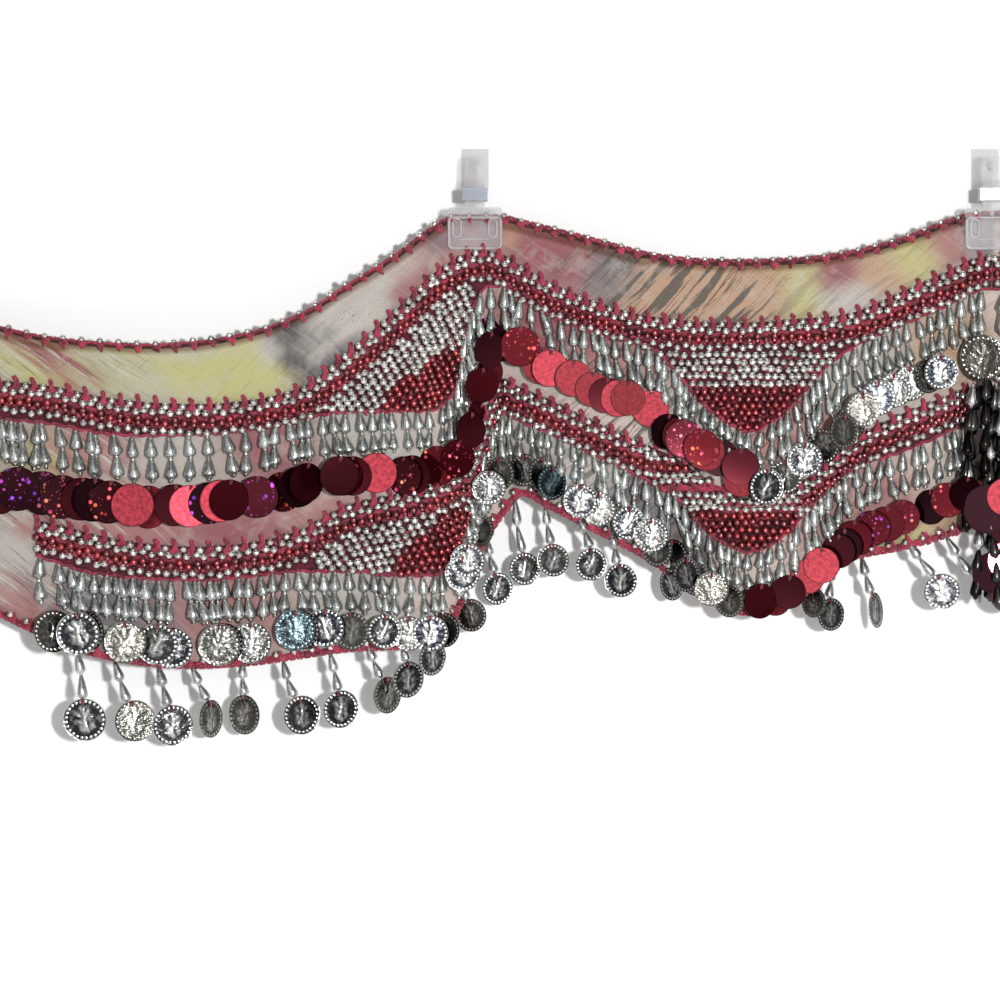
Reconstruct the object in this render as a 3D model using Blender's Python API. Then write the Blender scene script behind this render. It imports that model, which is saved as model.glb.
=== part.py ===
"""Belly dance hip scarf, hung by clear clips on plain wall hooks.

A long chiffon scarf with a shaped hem. Two crocheted bead panels run along it in
zigzag points; under each hangs a double row of drop beads and a row of large
paillettes or coins, and a fringe of drops and coins hangs from the hem.

The cloth is drawn on a chart: `across` counts from the left, `down` from the top,
and one chart unit is U metres. MID is the column of the centre line and PEG the
row of the hooks' pegs, which together are the origin. The left half is charted,
and the right half mirrors it.  X is across, Z is up, -Y is the worn outside.
"""

import math

import bmesh
import bpy
from mathutils import Vector

U = 0.00048          # one chart unit, metres
MID = 992.0          # chart column of the centre line
PEG = 165.0          # chart row of the pegs
MM = 0.001

CLOTH_T = 1.2 * MM   # cloth wall
EDGE_T = 2.0 * MM    # crocheted edging
EDGE_W = 5.5         # its height beyond the cloth's edge, chart units
SEAM = 1.3           # gap between neighbouring strips, chart units
PANEL = (1.0 * MM, 4.5 * MM)    # how far in front of the cloth's middle each lies
DROPS = (1.0 * MM, 6.1 * MM)
DISCS = (1.0 * MM, 4.1 * MM)
FRINGE_T = 4.0 * MM
TAIL = -205.0        # the bead work starts this side of the end clip
LOWER = 36.0         # where the lower bead panel starts

# One row for each section from the tail's tip to the centre line.
#   s          the section's own number, equal to its top point's column on the main part
#   ta, td     column and row of the cloth's top edge;  ha, hd  of its hem
#   ub, uf, ud, us   upper bead panel's top, its bottom, the drops' bottom, the discs' bottom
#   lb, lf, ld, ls   the same for the lower bead panel
COLUMNS = ("s", "ta", "td", "ha", "hd", "ub", "uf", "ud", "us", "lb", "lf", "ld", "ls")
SECTIONS = (
    (-560, -333, 708, -306, 772, 718, 728, 738, 748, 752, 756, 760, 764),
    (-500, -338, 612, -272, 716, 640, 655, 670, 680, 690, 698, 704, 710),
    (-430, -332, 512, -246, 664, 550, 572, 595, 618, 630, 640, 648, 656),
    (-360, -316, 412, -222, 622, 470, 500, 530, 560, 580, 590, 600, 610),
    (-290, -284, 312, -190, 592, 395, 432, 468, 505, 530, 545, 560, 575),
    (-255, -256, 258, -172, 578, 355, 395, 437, 480, 510, 530, 548, 562),
    (-225, -228, 232, -152, 566, 330, 371, 415, 460, 490, 515, 535, 550),
    (-180, -182, 262, -122, 568, 336, 377, 421, 466, 500, 520, 540, 555),
    (-120, -120, 296, -84, 577, 356, 397, 441, 487, 505, 530, 552, 570),
    (-60, -60, 315, -44, 592, 370, 411, 455, 501, 510, 540, 565, 585),
    (0, 0, 329, 0, 612, 380, 421, 465, 512, 515, 545, 580, 603),
    (35, 35, 337, 35, 628, 384, 424, 470, 517, 519, 563, 606, 622),
    (60, 60, 341, 60, 638, 387, 427, 474, 520, 524, 568, 612, 634),
    (100, 100, 345, 100, 652, 396, 435, 481, 525, 534, 575, 618, 648),
    (150, 150, 347, 150, 661, 402, 438, 484, 528, 543, 580, 622, 657),
    (200, 200, 344, 200, 664, 404, 437, 482, 526, 546, 582, 624, 660),
    (250, 250, 335, 250, 661, 400, 432, 476, 519, 542, 578, 620, 656),
    (300, 300, 317, 300, 654, 388, 422, 464, 506, 530, 573, 614, 649),
    (350, 350, 286, 350, 647, 350, 414, 458, 496, 504, 573, 614, 643),
    (400, 400, 254, 400, 644, 306, 414, 454, 490, 493, 577, 614, 640),
    (435, 435, 229, 435, 638, 272, 412, 450, 480, 483, 577, 610, 632),
    (455, 455, 219, 455, 612, 259, 392, 443, 468, 471, 560, 588, 604),
    (470, 470, 219, 470, 572, 252, 320, 425, 455, 458, 515, 548, 565),
    (485, 485, 219, 485, 538, 250, 290, 350, 410, 414, 452, 504, 530),
    (500, 500, 219, 500, 515, 253, 288, 334, 370, 378, 414, 470, 505),
    (522, 522, 224, 522, 492, 266, 302, 344, 378, 387, 424, 458, 484),
    (550, 550, 231, 550, 505, 282, 318, 362, 396, 400, 436, 472, 497),
    (600, 600, 244, 600, 531, 303, 337, 382, 418, 424, 460, 500, 524),
    (650, 650, 257, 650, 562, 316, 350, 396, 434, 446, 484, 530, 555),
    (675, 675, 261, 675, 582, 318, 374, 418, 448, 456, 498, 548, 574),
    (700, 700, 263, 700, 600, 320, 404, 438, 466, 472, 528, 572, 592),
    (725, 725, 264, 725, 614, 320, 424, 458, 484, 488, 546, 586, 606),
    (748, 748, 264, 748, 620, 320, 434, 470, 494, 497, 554, 592, 612),
    (775, 775, 263, 775, 614, 319, 421, 464, 488, 491, 543, 584, 606),
    (800, 800, 262, 800, 602, 318, 398, 446, 478, 481, 520, 566, 594),
    (825, 825, 259, 825, 582, 317, 370, 420, 458, 462, 492, 540, 574),
    (850, 850, 255, 850, 562, 313, 351, 396, 436, 440, 472, 515, 554),
    (900, 900, 242, 900, 546, 292, 328, 371, 404, 414, 454, 497, 538),
    (950, 950, 223, 950, 532, 270, 306, 350, 390, 394, 433, 476, 516),
    (975, 975, 216, 975, 524, 258, 294, 338, 380, 384, 422, 465, 506),
    (992, 992, 215, 992, 520, 255, 290, 334, 376, 380, 418, 462, 502),
)

# Folds in the cloth: where, half width in chart units, depth at the hem in mm (minus is towards the viewer).
FOLD_COLUMNS = ("s", "half_width", "depth_mm")
FOLDS = (
    (-500, 40, 7.0), (-430, 34, -7.0), (-365, 36, 6.0), (-300, 38, -8.0), (-228, 45, 7.0),
    (-130, 60, -6.0), (-20, 60, 4.0), (90, 70, -6.0), (215, 60, 3.0), (320, 50, -4.0),
    (418, 50, -12.0), (494, 34, 12.0), (590, 60, -4.0), (680, 44, 3.0), (755, 60, -6.0),
    (850, 45, 2.0), (930, 42, -7.0), (992, 40, 13.0),
)
TIP = float(SECTIONS[0][0])      # the tail's tip
CLIPS = (-228.0, 475.0, 992.0)   # columns of the clips on the left half and the centre
TIGHT = ((-262, -196), (405, 525), (948, 992))   # sections where the folds are tight
BOWS = ((-228.0, 475.0, -6.0), (475.0, 992.0, -4.0))   # from clip, to clip, how far the span bows, mm

# Lower outline of the hem fringe, by column.
FRINGE_COLUMNS = ("s", "bottom")
FRINGE = (
    (52, 738), (150, 741), (220, 741), (300, 738), (350, 726), (400, 704), (435, 684), (460, 650),
    (500, 612), (530, 602), (560, 590), (600, 592), (640, 600), (690, 612), (750, 640), (830, 634),
    (880, 628), (940, 612), (992, 604),
)


def spline(xs, ys):
    """A monotone cubic through the points, so that no section overshoots its neighbours."""
    n = len(xs)
    h = [xs[i + 1] - xs[i] for i in range(n - 1)]
    m = [(ys[i + 1] - ys[i]) / h[i] for i in range(n - 1)]
    d = [m[0]] + [0.0] * (n - 2) + [m[-1]]
    for i in range(1, n - 1):
        if m[i - 1] * m[i] > 0:
            w1, w2 = 2 * h[i] + h[i - 1], h[i] + 2 * h[i - 1]
            d[i] = (w1 + w2) / (w1 / m[i - 1] + w2 / m[i])

    def at(x):
        x = min(max(x, xs[0]), xs[-1])
        i = max(k for k in range(n - 1) if xs[k] <= x)
        t = (x - xs[i]) / h[i]
        return (
            ys[i] * (1 + 2 * t) * (1 - t) ** 2
            + d[i] * h[i] * t * (1 - t) ** 2
            + ys[i + 1] * t * t * (3 - 2 * t)
            + d[i + 1] * h[i] * t * t * (t - 1)
        )

    return at


CHART = {
    name: spline([r[0] for r in SECTIONS], [float(r[k]) for r in SECTIONS])
    for k, name in enumerate(COLUMNS)
}
ROWS = ("td", "ub", "uf", "ud", "us", "lf", "ld", "hd")   # the cloth's facets break at the strips' edges
FRINGE_BOTTOM = spline([r[0] for r in FRINGE], [float(r[1]) for r in FRINGE])


def smooth(x):
    x = min(max(x, 0.0), 1.0)
    return x * x * (3 - 2 * x)


def depth(s, v):
    """How far back the cloth's middle lies at section s, a share v of the way from top edge to hem."""
    y = sum(mm * math.exp(-(((s - c) / w) ** 2)) for c, w, mm in FOLDS)
    if s > MID - 160:  # the mirrored half's own fold reaches over the centre line
        y += sum(mm * math.exp(-(((2 * MID - s - c) / w) ** 2)) for c, w, mm in FOLDS[-2:-1])
    y *= smooth((v - 0.13) / 0.62)
    for a, b, mm in BOWS:
        if a < s < b:
            y += mm * math.sin(math.pi * (s - a) / (b - a)) ** 2
    return y * MM


def point(s, v):
    """The cloth's middle surface, flat between the charted rows."""
    across = CHART["ta"](s) * (1 - v) + CHART["ha"](s) * v
    down = CHART["td"](s) * (1 - v) + CHART["hd"](s) * v
    breaks = [share(s, CHART[r](s)) for r in ROWS]
    k = max(i for i in range(len(ROWS) - 1) if i == 0 or breaks[i] <= v)
    t = (v - breaks[k]) / (breaks[k + 1] - breaks[k])
    back = depth(s, breaks[k]) * (1 - t) + depth(s, breaks[k + 1]) * t
    return Vector(((across - MID) * U, back, (PEG - down) * U))


def share(s, down):
    """The share v of a chart row at section s."""
    return (down - CHART["td"](s)) / (CHART["hd"](s) - CHART["td"](s))


def foremost(upper, lower):
    """The nearest the cloth's middle comes to the viewer by the centre line, between two chart rows."""
    spots = [(s, upper + (lower - upper) * k / 8) for s in (MID, MID - 8, MID - 16, MID - 24) for k in range(9)]
    return min(depth(s, min(share(s, down), 1.0)) for s, down in spots)


def all_stations():
    """Section numbers from the tail's tip to the centre line, closer together in the tight folds."""
    out = [TIP]
    while out[-1] < MID:
        s = out[-1]
        step = 13.0 if any(a <= s < b for a, b in TIGHT) else 31.0
        out.append(s + step if s + 1.4 * step < MID else MID)
    return out


def stations(start, end):
    """The sections from start to end, shared by every piece, so that facets lie alongside."""
    inner = [s for s in STATIONS if start + 4 < s < end - 4]
    return [start, *inner, end]


STATIONS = all_stations()

MATERIALS = {
    "chiffon": ((0.72, 0.62, 0.52), 0.75, 0.0),
    "crochet": ((0.62, 0.03, 0.08), 0.85, 0.0),
    "beads": ((0.55, 0.40, 0.40), 0.25, 0.8),
    "drops": ((0.66, 0.67, 0.66), 0.18, 0.9),
    "paillette": ((0.42, 0.01, 0.04), 0.2, 0.7),
    "coin": ((0.74, 0.75, 0.75), 0.2, 1.0),
    "clear": ((0.86, 0.86, 0.88), 0.15, 0.0),
    "steel": ((0.60, 0.63, 0.68), 0.25, 1.0),
}


def material(name):
    found = bpy.data.materials.get(name)
    if found:
        return found
    colour, roughness, metallic = MATERIALS[name]
    made = bpy.data.materials.new(name)
    made.use_nodes = True
    shader = made.node_tree.nodes["Principled BSDF"]
    shader.inputs["Base Color"].default_value = (*colour, 1.0)
    shader.inputs["Roughness"].default_value = roughness
    shader.inputs["Metallic"].default_value = metallic
    return made


def finish(obj, name, slot):
    obj.name = name
    obj.data.materials.clear()
    obj.data.materials.append(material(slot))
    for c in list(obj.users_collection):
        c.objects.unlink(obj)
    SCARF.objects.link(obj)
    return obj


def strip(name, slot, ss, ws, place, layer, half=0):
    """A grid laid out by place(s, w), from layer[0] to layer[1] in front of the cloth's middle.

    half is -1 for a piece of the left half, 1 for its twin on the right, 0 for one that spans both.
    """
    columns = [(s, -1) for s in ss] if half <= 0 else [(s, 1) for s in reversed(ss)]
    if half == 0:
        columns += [(s, 1) for s in reversed(ss[:-1])]
    bm = bmesh.new()
    bmesh.ops.create_grid(bm, x_segments=len(columns) - 1, y_segments=len(ws) - 1, size=1.0)
    for p in bm.verts:
        s, side = columns[round((p.co.x + 1) / 2 * (len(columns) - 1))]
        w = ws[round((1 - p.co.y) / 2 * (len(ws) - 1))]
        at = place(s, w)
        p.co = (at.x if side < 0 else -at.x, at.y - layer[1], at.z)
    back = bmesh.ops.extrude_face_region(bm, geom=bm.faces[:])["geom"]
    bmesh.ops.translate(
        bm, vec=(0, layer[1] - layer[0], 0), verts=[g for g in back if isinstance(g, bmesh.types.BMVert)]
    )
    bmesh.ops.recalc_face_normals(bm, faces=bm.faces[:])
    mesh = bpy.data.meshes.new(name)
    bm.to_mesh(mesh)
    bm.free()
    obj = bpy.data.objects.new(name, mesh)
    bpy.context.scene.collection.objects.link(obj)
    return finish(obj, name, slot)


def slant(name, s):
    """How much longer a gap is down a section than square to that charted line, at most 3."""
    back, on = max(s - 3.0, TIP), min(s + 3.0, MID)
    return min(math.hypot(1.0, (CHART[name](on) - CHART[name](back)) / (on - back)), 3.0)


def band(name, slot, s0, s1, upper, lower, layer, half=0):
    """A strip between two charted rows, in front of the cloth."""

    def place(s, w):
        down = (
            CHART[upper](s) + SEAM / 2 * slant(upper, s)
            if w == 0
            else CHART[lower](s) - SEAM / 2 * slant(lower, s)
        )
        return point(s, share(s, down))

    return strip(name, slot, stations(s0, s1), (0.0, 1.0), place, layer, half)


def beyond(s, edge, distance):
    """Chart column and row that far past the top edge (0) or hem (1), measured square to it, at section s."""
    along, down_to = ("ta", "td") if edge == 0 else ("ha", "hd")
    back, on = max(s - 2.0, TIP), min(s + 2.0, MID)
    line = Vector((CHART[along](on) - CHART[along](back), CHART[down_to](on) - CHART[down_to](back)))
    rib = Vector((CHART["ha"](s) - CHART["ta"](s), CHART["hd"](s) - CHART["td"](s)))
    square = abs(line.normalized().cross(rib))
    v = edge + (1 if edge else -1) * distance / max(square, 0.35 * rib.length)
    across = CHART["ta"](s) * (1 - v) + CHART["ha"](s) * v
    down = CHART["td"](s) * (1 - v) + CHART["hd"](s) * v
    return across, down


def edging(name, edge, s0):
    """The crocheted edging, just beyond the cloth's top edge or hem."""

    def place(s, w):
        across, down = beyond(s, edge, SEAM * 0.8 + w * EDGE_W)
        return Vector(((across - MID) * U, depth(s, edge), (PEG - down) * U))

    return strip(name, "crochet", stations(s0, MID), (0.0, 1.0), place, (-EDGE_T / 2, EDGE_T / 2))


def outline(name, slot, loops, half, centre, axis):
    """A flat plate from closed outlines; the second loop is a hole. half is half its thickness."""
    curve = bpy.data.curves.new(name, "CURVE")
    curve.dimensions = "2D"
    curve.fill_mode = "BOTH"
    curve.extrude = half
    for loop in loops:
        line = curve.splines.new("POLY")
        line.points.add(len(loop) - 1)
        for p, (x, y) in zip(line.points, loop):
            p.co = (x, y, 0.0, 1.0)
        line.use_cyclic_u = True
    obj = bpy.data.objects.new(name, curve)
    obj.location = centre
    if axis == "Y":
        obj.rotation_euler = (math.radians(90), 0, 0)
    bpy.context.scene.collection.objects.link(obj)
    return finish(obj, name, slot)


def corner(cx, cy, r, start, n=3):
    """Points of a quarter round corner, in order round the outline."""
    return [
        (cx + r * math.cos(math.radians(start + 90 * k / n)),
         cy + r * math.sin(math.radians(start + 90 * k / n)))
        for k in range(n + 1)
    ]


def circle(cx, cy, r, n=12):
    return [(cx + r * math.cos(2 * math.pi * k / n), cy + r * math.sin(2 * math.pi * k / n)) for k in range(n)]


# Clip sizes, metres. Heights are above the bottom of the jaws.
JAW_W, JAW_H, JAW_R = 26.4 * MM, 20.5 * MM, 2.4 * MM
STEM_W, STEM_TOP = 9.6 * MM, 33.5 * MM
JAW_IN, JAW_OUT = 1.35 * MM, 2.95 * MM
JAW_FOOT = 250.0                      # chart row of the bottom of the jaws
PEG_UP = (JAW_FOOT - PEG) * U         # the peg above the bottom of the jaws
PEG_R, EYE_R = 2.0 * MM, 2.4 * MM
WALL = 25.0 * MM                      # the wall face behind the cloth
PLATE_T, PLATE_W, PLATE_H = 2.5 * MM, 13.0 * MM, 20.0 * MM
SPRING_LOW, SPRING_H = 23.5 * MM, 6.0 * MM


def jaw(tall, hole):
    """Outline of a jaw: a plate with round corners and a narrow stem, its eye at the top if hole."""
    w, s, top = JAW_W / 2, STEM_W / 2, tall
    r = 2.0 * MM
    body = (
        corner(-w + JAW_R, JAW_R, JAW_R, 180)
        + corner(w - JAW_R, JAW_R, JAW_R, 270)
        + corner(w - JAW_R, JAW_H - JAW_R, JAW_R, 0)
        + [(s, JAW_H)]
        + corner(s - r, top - r, r, 0)
        + corner(-s + r, top - r, r, 90)
        + [(-s, JAW_H)]
        + corner(-w + JAW_R, JAW_H - JAW_R, JAW_R, 90)
    )
    return [body, circle(0, PEG_UP, EYE_R)] if hole else [body]


def clip(x, side):
    """A clear clip with its steel spring, hung on a wall hook at x. side names it."""
    z = -PEG_UP
    mid = (JAW_IN + JAW_OUT) / 2
    half = (JAW_OUT - JAW_IN) / 2
    outline(f"clip_{side}_front_jaw", "clear", jaw(STEM_TOP, False), half, (x, -mid, z), "Y")
    outline(f"clip_{side}_back_jaw", "clear", jaw(PEG_UP + 4.6 * MM, True), half, (x, mid, z), "Y")
    ix, iy, t = STEM_W / 2 + 0.35 * MM, JAW_OUT + 0.35 * MM, 0.9 * MM
    box = [[(-a, -b), (a, -b), (a, b), (-a, b)] for a, b in ((ix + t, iy + t), (ix, iy))]
    outline(f"clip_{side}_spring", "steel", box, SPRING_H / 2, (x, 0, z + SPRING_LOW + SPRING_H / 2), "Z")
    bpy.ops.mesh.primitive_cube_add(size=1)
    plate = bpy.context.object
    for p in plate.data.vertices:
        p.co = Vector((p.co.x * PLATE_W + x, p.co.y * PLATE_T + WALL - PLATE_T / 2, p.co.z * PLATE_H))
    finish(plate, f"hook_{side}", "clear")
    reach = WALL - PLATE_T + 0.5 * MM + 2.0 * MM
    bpy.ops.mesh.primitive_cylinder_add(
        vertices=12, radius=PEG_R, depth=reach,
        location=(x, WALL - PLATE_T + 0.5 * MM - reach / 2, 0), rotation=(math.radians(90), 0, 0),
    )
    peg = bpy.context.object
    peg.name = f"peg_{side}_tool"
    for c in list(peg.users_collection):
        c.objects.unlink(peg)
    TOOLS.objects.link(peg)
    peg.hide_render = True
    peg.display_type = "WIRE"
    join = plate.modifiers.new("peg", "BOOLEAN")
    join.operation = "UNION"
    join.object = peg


for old in list(bpy.data.objects):
    bpy.data.objects.remove(old)
SCARF = bpy.data.collections.new("hip_scarf")
TOOLS = bpy.data.collections.new("cutters")
bpy.context.scene.collection.children.link(SCARF)
bpy.context.scene.collection.children.link(TOOLS)
TOOLS.hide_render = True

# The cloth, one panel cut in one piece from tail to tail.
strip(
    "cloth_panel", "chiffon", stations(TIP, MID), [k / (len(ROWS) - 1) for k in range(len(ROWS))],
    lambda s, w: point(s, share(s, CHART[ROWS[round(w * (len(ROWS) - 1))]](s))),
    (-CLOTH_T / 2, CLOTH_T / 2),
)
edging("top_edging", 0, TIP + 12)
edging("hem_edging", 1, TIP + 12)

# Crocheted bead panels and the drops under them.
band("upper_bead_panel", "beads", TAIL, MID, "ub", "uf", PANEL)
band("upper_drop_row", "drops", TAIL, MID, "uf", "ud", DROPS)
band("lower_bead_panel", "beads", LOWER, MID, "lb", "lf", PANEL)
band("lower_drop_row", "drops", LOWER, MID, "lf", "ld", DROPS)

# Overlapping discs under the drops: paillettes on one arm of each point, coins on the other.
TURN_UPPER, TURN_LOWER = 757.0, 742.0
for name, slot, s0, s1, a, b in (
    ("upper_paillettes", "paillette", TAIL, TURN_UPPER - 1, "ud", "us"),
    ("upper_coins", "coin", TURN_UPPER + 1, MID - 2, "ud", "us"),
    ("lower_coins", "coin", LOWER, TURN_LOWER - 1, "ld", "ls"),
    ("lower_paillettes", "paillette", TURN_LOWER + 1, MID - 2, "ld", "ls"),
):
    band(name + "_left", slot, s0, s1, a, b, DISCS, -1)
    band(name + "_right", slot, s0, s1, a, b, DISCS, 1)


def fringe(s, w):
    """The hem fringe hangs straight down from the hem edging."""
    top = beyond(s, 1, SEAM * 0.8 + EDGE_W)[1] + 2.6
    down = top + (FRINGE_BOTTOM(s) - top) * w
    return Vector(((CHART["ha"](s) - MID) * U, depth(s, 1.0), (PEG - down) * U))


strip(
    "hem_fringe", "coin", stations(float(FRINGE[0][0]), MID), (0.0, 1.0), fringe,
    (-FRINGE_T / 2, FRINGE_T / 2),
)

# Centre ornament: a larger medallion over a hanging tassel of drops and paillettes.
MEDAL_ROW, MEDAL_R, MEDAL_T = 356.0, 11.4 * MM, 1.2 * MM
TASSEL_TOP, TASSEL_FOOT = 384.0, 640.0
MEDAL_Y = foremost(MEDAL_ROW - 25, MEDAL_ROW + 25) - DROPS[1] - 1.8 * MM
bpy.ops.mesh.primitive_cylinder_add(
    vertices=32, radius=MEDAL_R, depth=MEDAL_T,
    location=(0, MEDAL_Y, (PEG - MEDAL_ROW) * U), rotation=(math.radians(90), 0, 0),
)
finish(bpy.context.object, "centre_medallion", "coin")

bpy.ops.mesh.primitive_cone_add(
    vertices=16, radius1=7.0 * MM, radius2=4.0 * MM, depth=(TASSEL_FOOT - TASSEL_TOP) * U,
    location=(
        0,
        foremost(TASSEL_TOP, CHART["hd"](MID)) - DROPS[1] - 7.6 * MM,
        (PEG - (TASSEL_TOP + TASSEL_FOOT) / 2) * U,
    ),
)
finish(bpy.context.object, "centre_tassel", "paillette")

for column, left_name, right_name in zip(CLIPS, ("far_left", "left", "centre"), ("far_right", "right", None)):
    x = (column - MID) * U
    clip(x, left_name)
    if right_name:
        clip(-x, right_name)
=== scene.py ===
"""The looks of the belly dance hip scarf: printed chiffon, crochet, beads, drops, coins, paillettes and clear clips."""

import math

import bmesh
import bpy
import numpy as np
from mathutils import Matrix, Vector


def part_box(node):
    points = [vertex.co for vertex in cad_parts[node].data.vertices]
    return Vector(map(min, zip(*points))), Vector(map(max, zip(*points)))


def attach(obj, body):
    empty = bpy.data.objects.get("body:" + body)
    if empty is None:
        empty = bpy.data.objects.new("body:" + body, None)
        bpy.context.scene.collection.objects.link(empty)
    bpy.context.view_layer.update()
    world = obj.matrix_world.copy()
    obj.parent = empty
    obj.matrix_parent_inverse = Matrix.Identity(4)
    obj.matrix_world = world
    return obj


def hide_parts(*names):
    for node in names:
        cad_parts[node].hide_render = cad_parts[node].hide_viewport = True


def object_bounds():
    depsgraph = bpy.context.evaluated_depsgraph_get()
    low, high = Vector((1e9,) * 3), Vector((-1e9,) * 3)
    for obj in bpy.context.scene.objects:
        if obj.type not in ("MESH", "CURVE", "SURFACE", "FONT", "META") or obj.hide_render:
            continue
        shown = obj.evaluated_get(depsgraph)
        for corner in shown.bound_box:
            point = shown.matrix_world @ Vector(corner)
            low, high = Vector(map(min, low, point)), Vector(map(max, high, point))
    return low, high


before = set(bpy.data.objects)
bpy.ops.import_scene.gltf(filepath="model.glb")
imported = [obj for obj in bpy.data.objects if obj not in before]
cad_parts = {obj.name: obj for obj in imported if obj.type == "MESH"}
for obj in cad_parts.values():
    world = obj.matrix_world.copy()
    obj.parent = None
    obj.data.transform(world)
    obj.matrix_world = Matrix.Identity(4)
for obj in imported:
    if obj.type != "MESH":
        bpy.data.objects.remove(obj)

CAD_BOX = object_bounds()

# ----------------------------------------------------------------- the chart
U = 0.00048      # one chart unit, metres
MID = 992.0      # column of the centre line
PEG = 165.0      # row of the hooks' pegs
MM = 0.001
TAIL = -205.0
LOWER = 36.0
COLUMNS = ("s", "ta", "td", "ha", "hd", "ub", "uf", "ud", "us", "lb", "lf", "ld", "ls")
SECTIONS = (
    (-560, -333, 708, -306, 772, 718, 728, 738, 748, 752, 756, 760, 764),
    (-500, -338, 612, -272, 716, 640, 655, 670, 680, 690, 698, 704, 710),
    (-430, -332, 512, -246, 664, 550, 572, 595, 618, 630, 640, 648, 656),
    (-360, -316, 412, -222, 622, 470, 500, 530, 560, 580, 590, 600, 610),
    (-290, -284, 312, -190, 592, 395, 432, 468, 505, 530, 545, 560, 575),
    (-255, -256, 258, -172, 578, 355, 395, 437, 480, 510, 530, 548, 562),
    (-225, -228, 232, -152, 566, 330, 371, 415, 460, 490, 515, 535, 550),
    (-180, -182, 262, -122, 568, 336, 377, 421, 466, 500, 520, 540, 555),
    (-120, -120, 296, -84, 577, 356, 397, 441, 487, 505, 530, 552, 570),
    (-60, -60, 315, -44, 592, 370, 411, 455, 501, 510, 540, 565, 585),
    (0, 0, 329, 0, 612, 380, 421, 465, 512, 515, 545, 580, 603),
    (35, 35, 337, 35, 628, 384, 424, 470, 517, 519, 556, 602, 622),
    (60, 60, 341, 60, 638, 387, 427, 474, 520, 524, 564, 610, 634),
    (100, 100, 345, 100, 652, 396, 435, 481, 525, 534, 575, 618, 648),
    (150, 150, 347, 150, 661, 402, 438, 484, 528, 543, 580, 622, 657),
    (200, 200, 344, 200, 664, 404, 437, 482, 526, 546, 582, 624, 660),
    (250, 250, 335, 250, 661, 400, 432, 476, 519, 542, 578, 620, 656),
    (300, 300, 317, 300, 654, 388, 422, 464, 506, 530, 573, 614, 649),
    (350, 350, 286, 350, 647, 350, 414, 458, 496, 504, 573, 614, 643),
    (400, 400, 254, 400, 644, 306, 414, 454, 490, 493, 577, 614, 640),
    (435, 435, 229, 435, 638, 272, 412, 450, 480, 483, 577, 610, 632),
    (455, 455, 219, 455, 612, 259, 392, 443, 468, 471, 560, 588, 604),
    (470, 470, 219, 470, 572, 252, 320, 425, 455, 458, 515, 548, 565),
    (485, 485, 219, 485, 538, 250, 290, 350, 410, 414, 452, 504, 530),
    (500, 500, 219, 500, 515, 253, 288, 334, 370, 378, 414, 470, 505),
    (522, 522, 224, 522, 492, 266, 302, 344, 378, 387, 424, 458, 484),
    (550, 550, 231, 550, 505, 282, 318, 362, 396, 400, 436, 472, 497),
    (600, 600, 244, 600, 531, 303, 337, 382, 418, 424, 460, 500, 524),
    (650, 650, 257, 650, 558, 316, 350, 396, 434, 446, 484, 530, 555),
    (675, 675, 261, 675, 575, 318, 374, 418, 448, 456, 498, 548, 574),
    (700, 700, 263, 700, 592, 320, 404, 438, 466, 472, 528, 572, 592),
    (725, 725, 264, 725, 605, 320, 424, 458, 484, 488, 546, 586, 606),
    (748, 748, 264, 748, 611, 320, 434, 470, 494, 497, 554, 592, 612),
    (775, 775, 263, 775, 605, 319, 421, 464, 488, 491, 543, 584, 606),
    (800, 800, 262, 800, 594, 318, 398, 446, 478, 481, 520, 566, 594),
    (825, 825, 259, 825, 575, 317, 370, 420, 458, 462, 492, 540, 574),
    (850, 850, 255, 850, 557, 313, 351, 396, 436, 440, 472, 515, 554),
    (900, 900, 242, 900, 546, 292, 328, 371, 404, 414, 454, 497, 538),
    (950, 950, 223, 950, 532, 270, 306, 350, 390, 394, 433, 476, 516),
    (975, 975, 216, 975, 524, 258, 294, 338, 380, 384, 422, 465, 506),
    (992, 992, 215, 992, 520, 255, 290, 334, 376, 380, 418, 462, 502),
)
FOLDS = (
    (-500, 40, 7.0), (-430, 34, -7.0), (-365, 36, 6.0), (-300, 38, -8.0), (-228, 45, 7.0),
    (-130, 60, -6.0), (-20, 60, 4.0), (90, 70, -6.0), (215, 60, 3.0), (320, 50, -4.0),
    (418, 50, -12.0), (494, 34, 12.0), (590, 60, -4.0), (680, 44, 3.0), (755, 60, -6.0),
    (850, 45, 2.0), (930, 42, -7.0), (992, 40, 13.0),
)
CLIPS = {"far_left": -228.0, "left": 475.0, "centre": 992.0}
BOWS = ((-228.0, 475.0, -6.0), (475.0, 992.0, -4.0))

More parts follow.
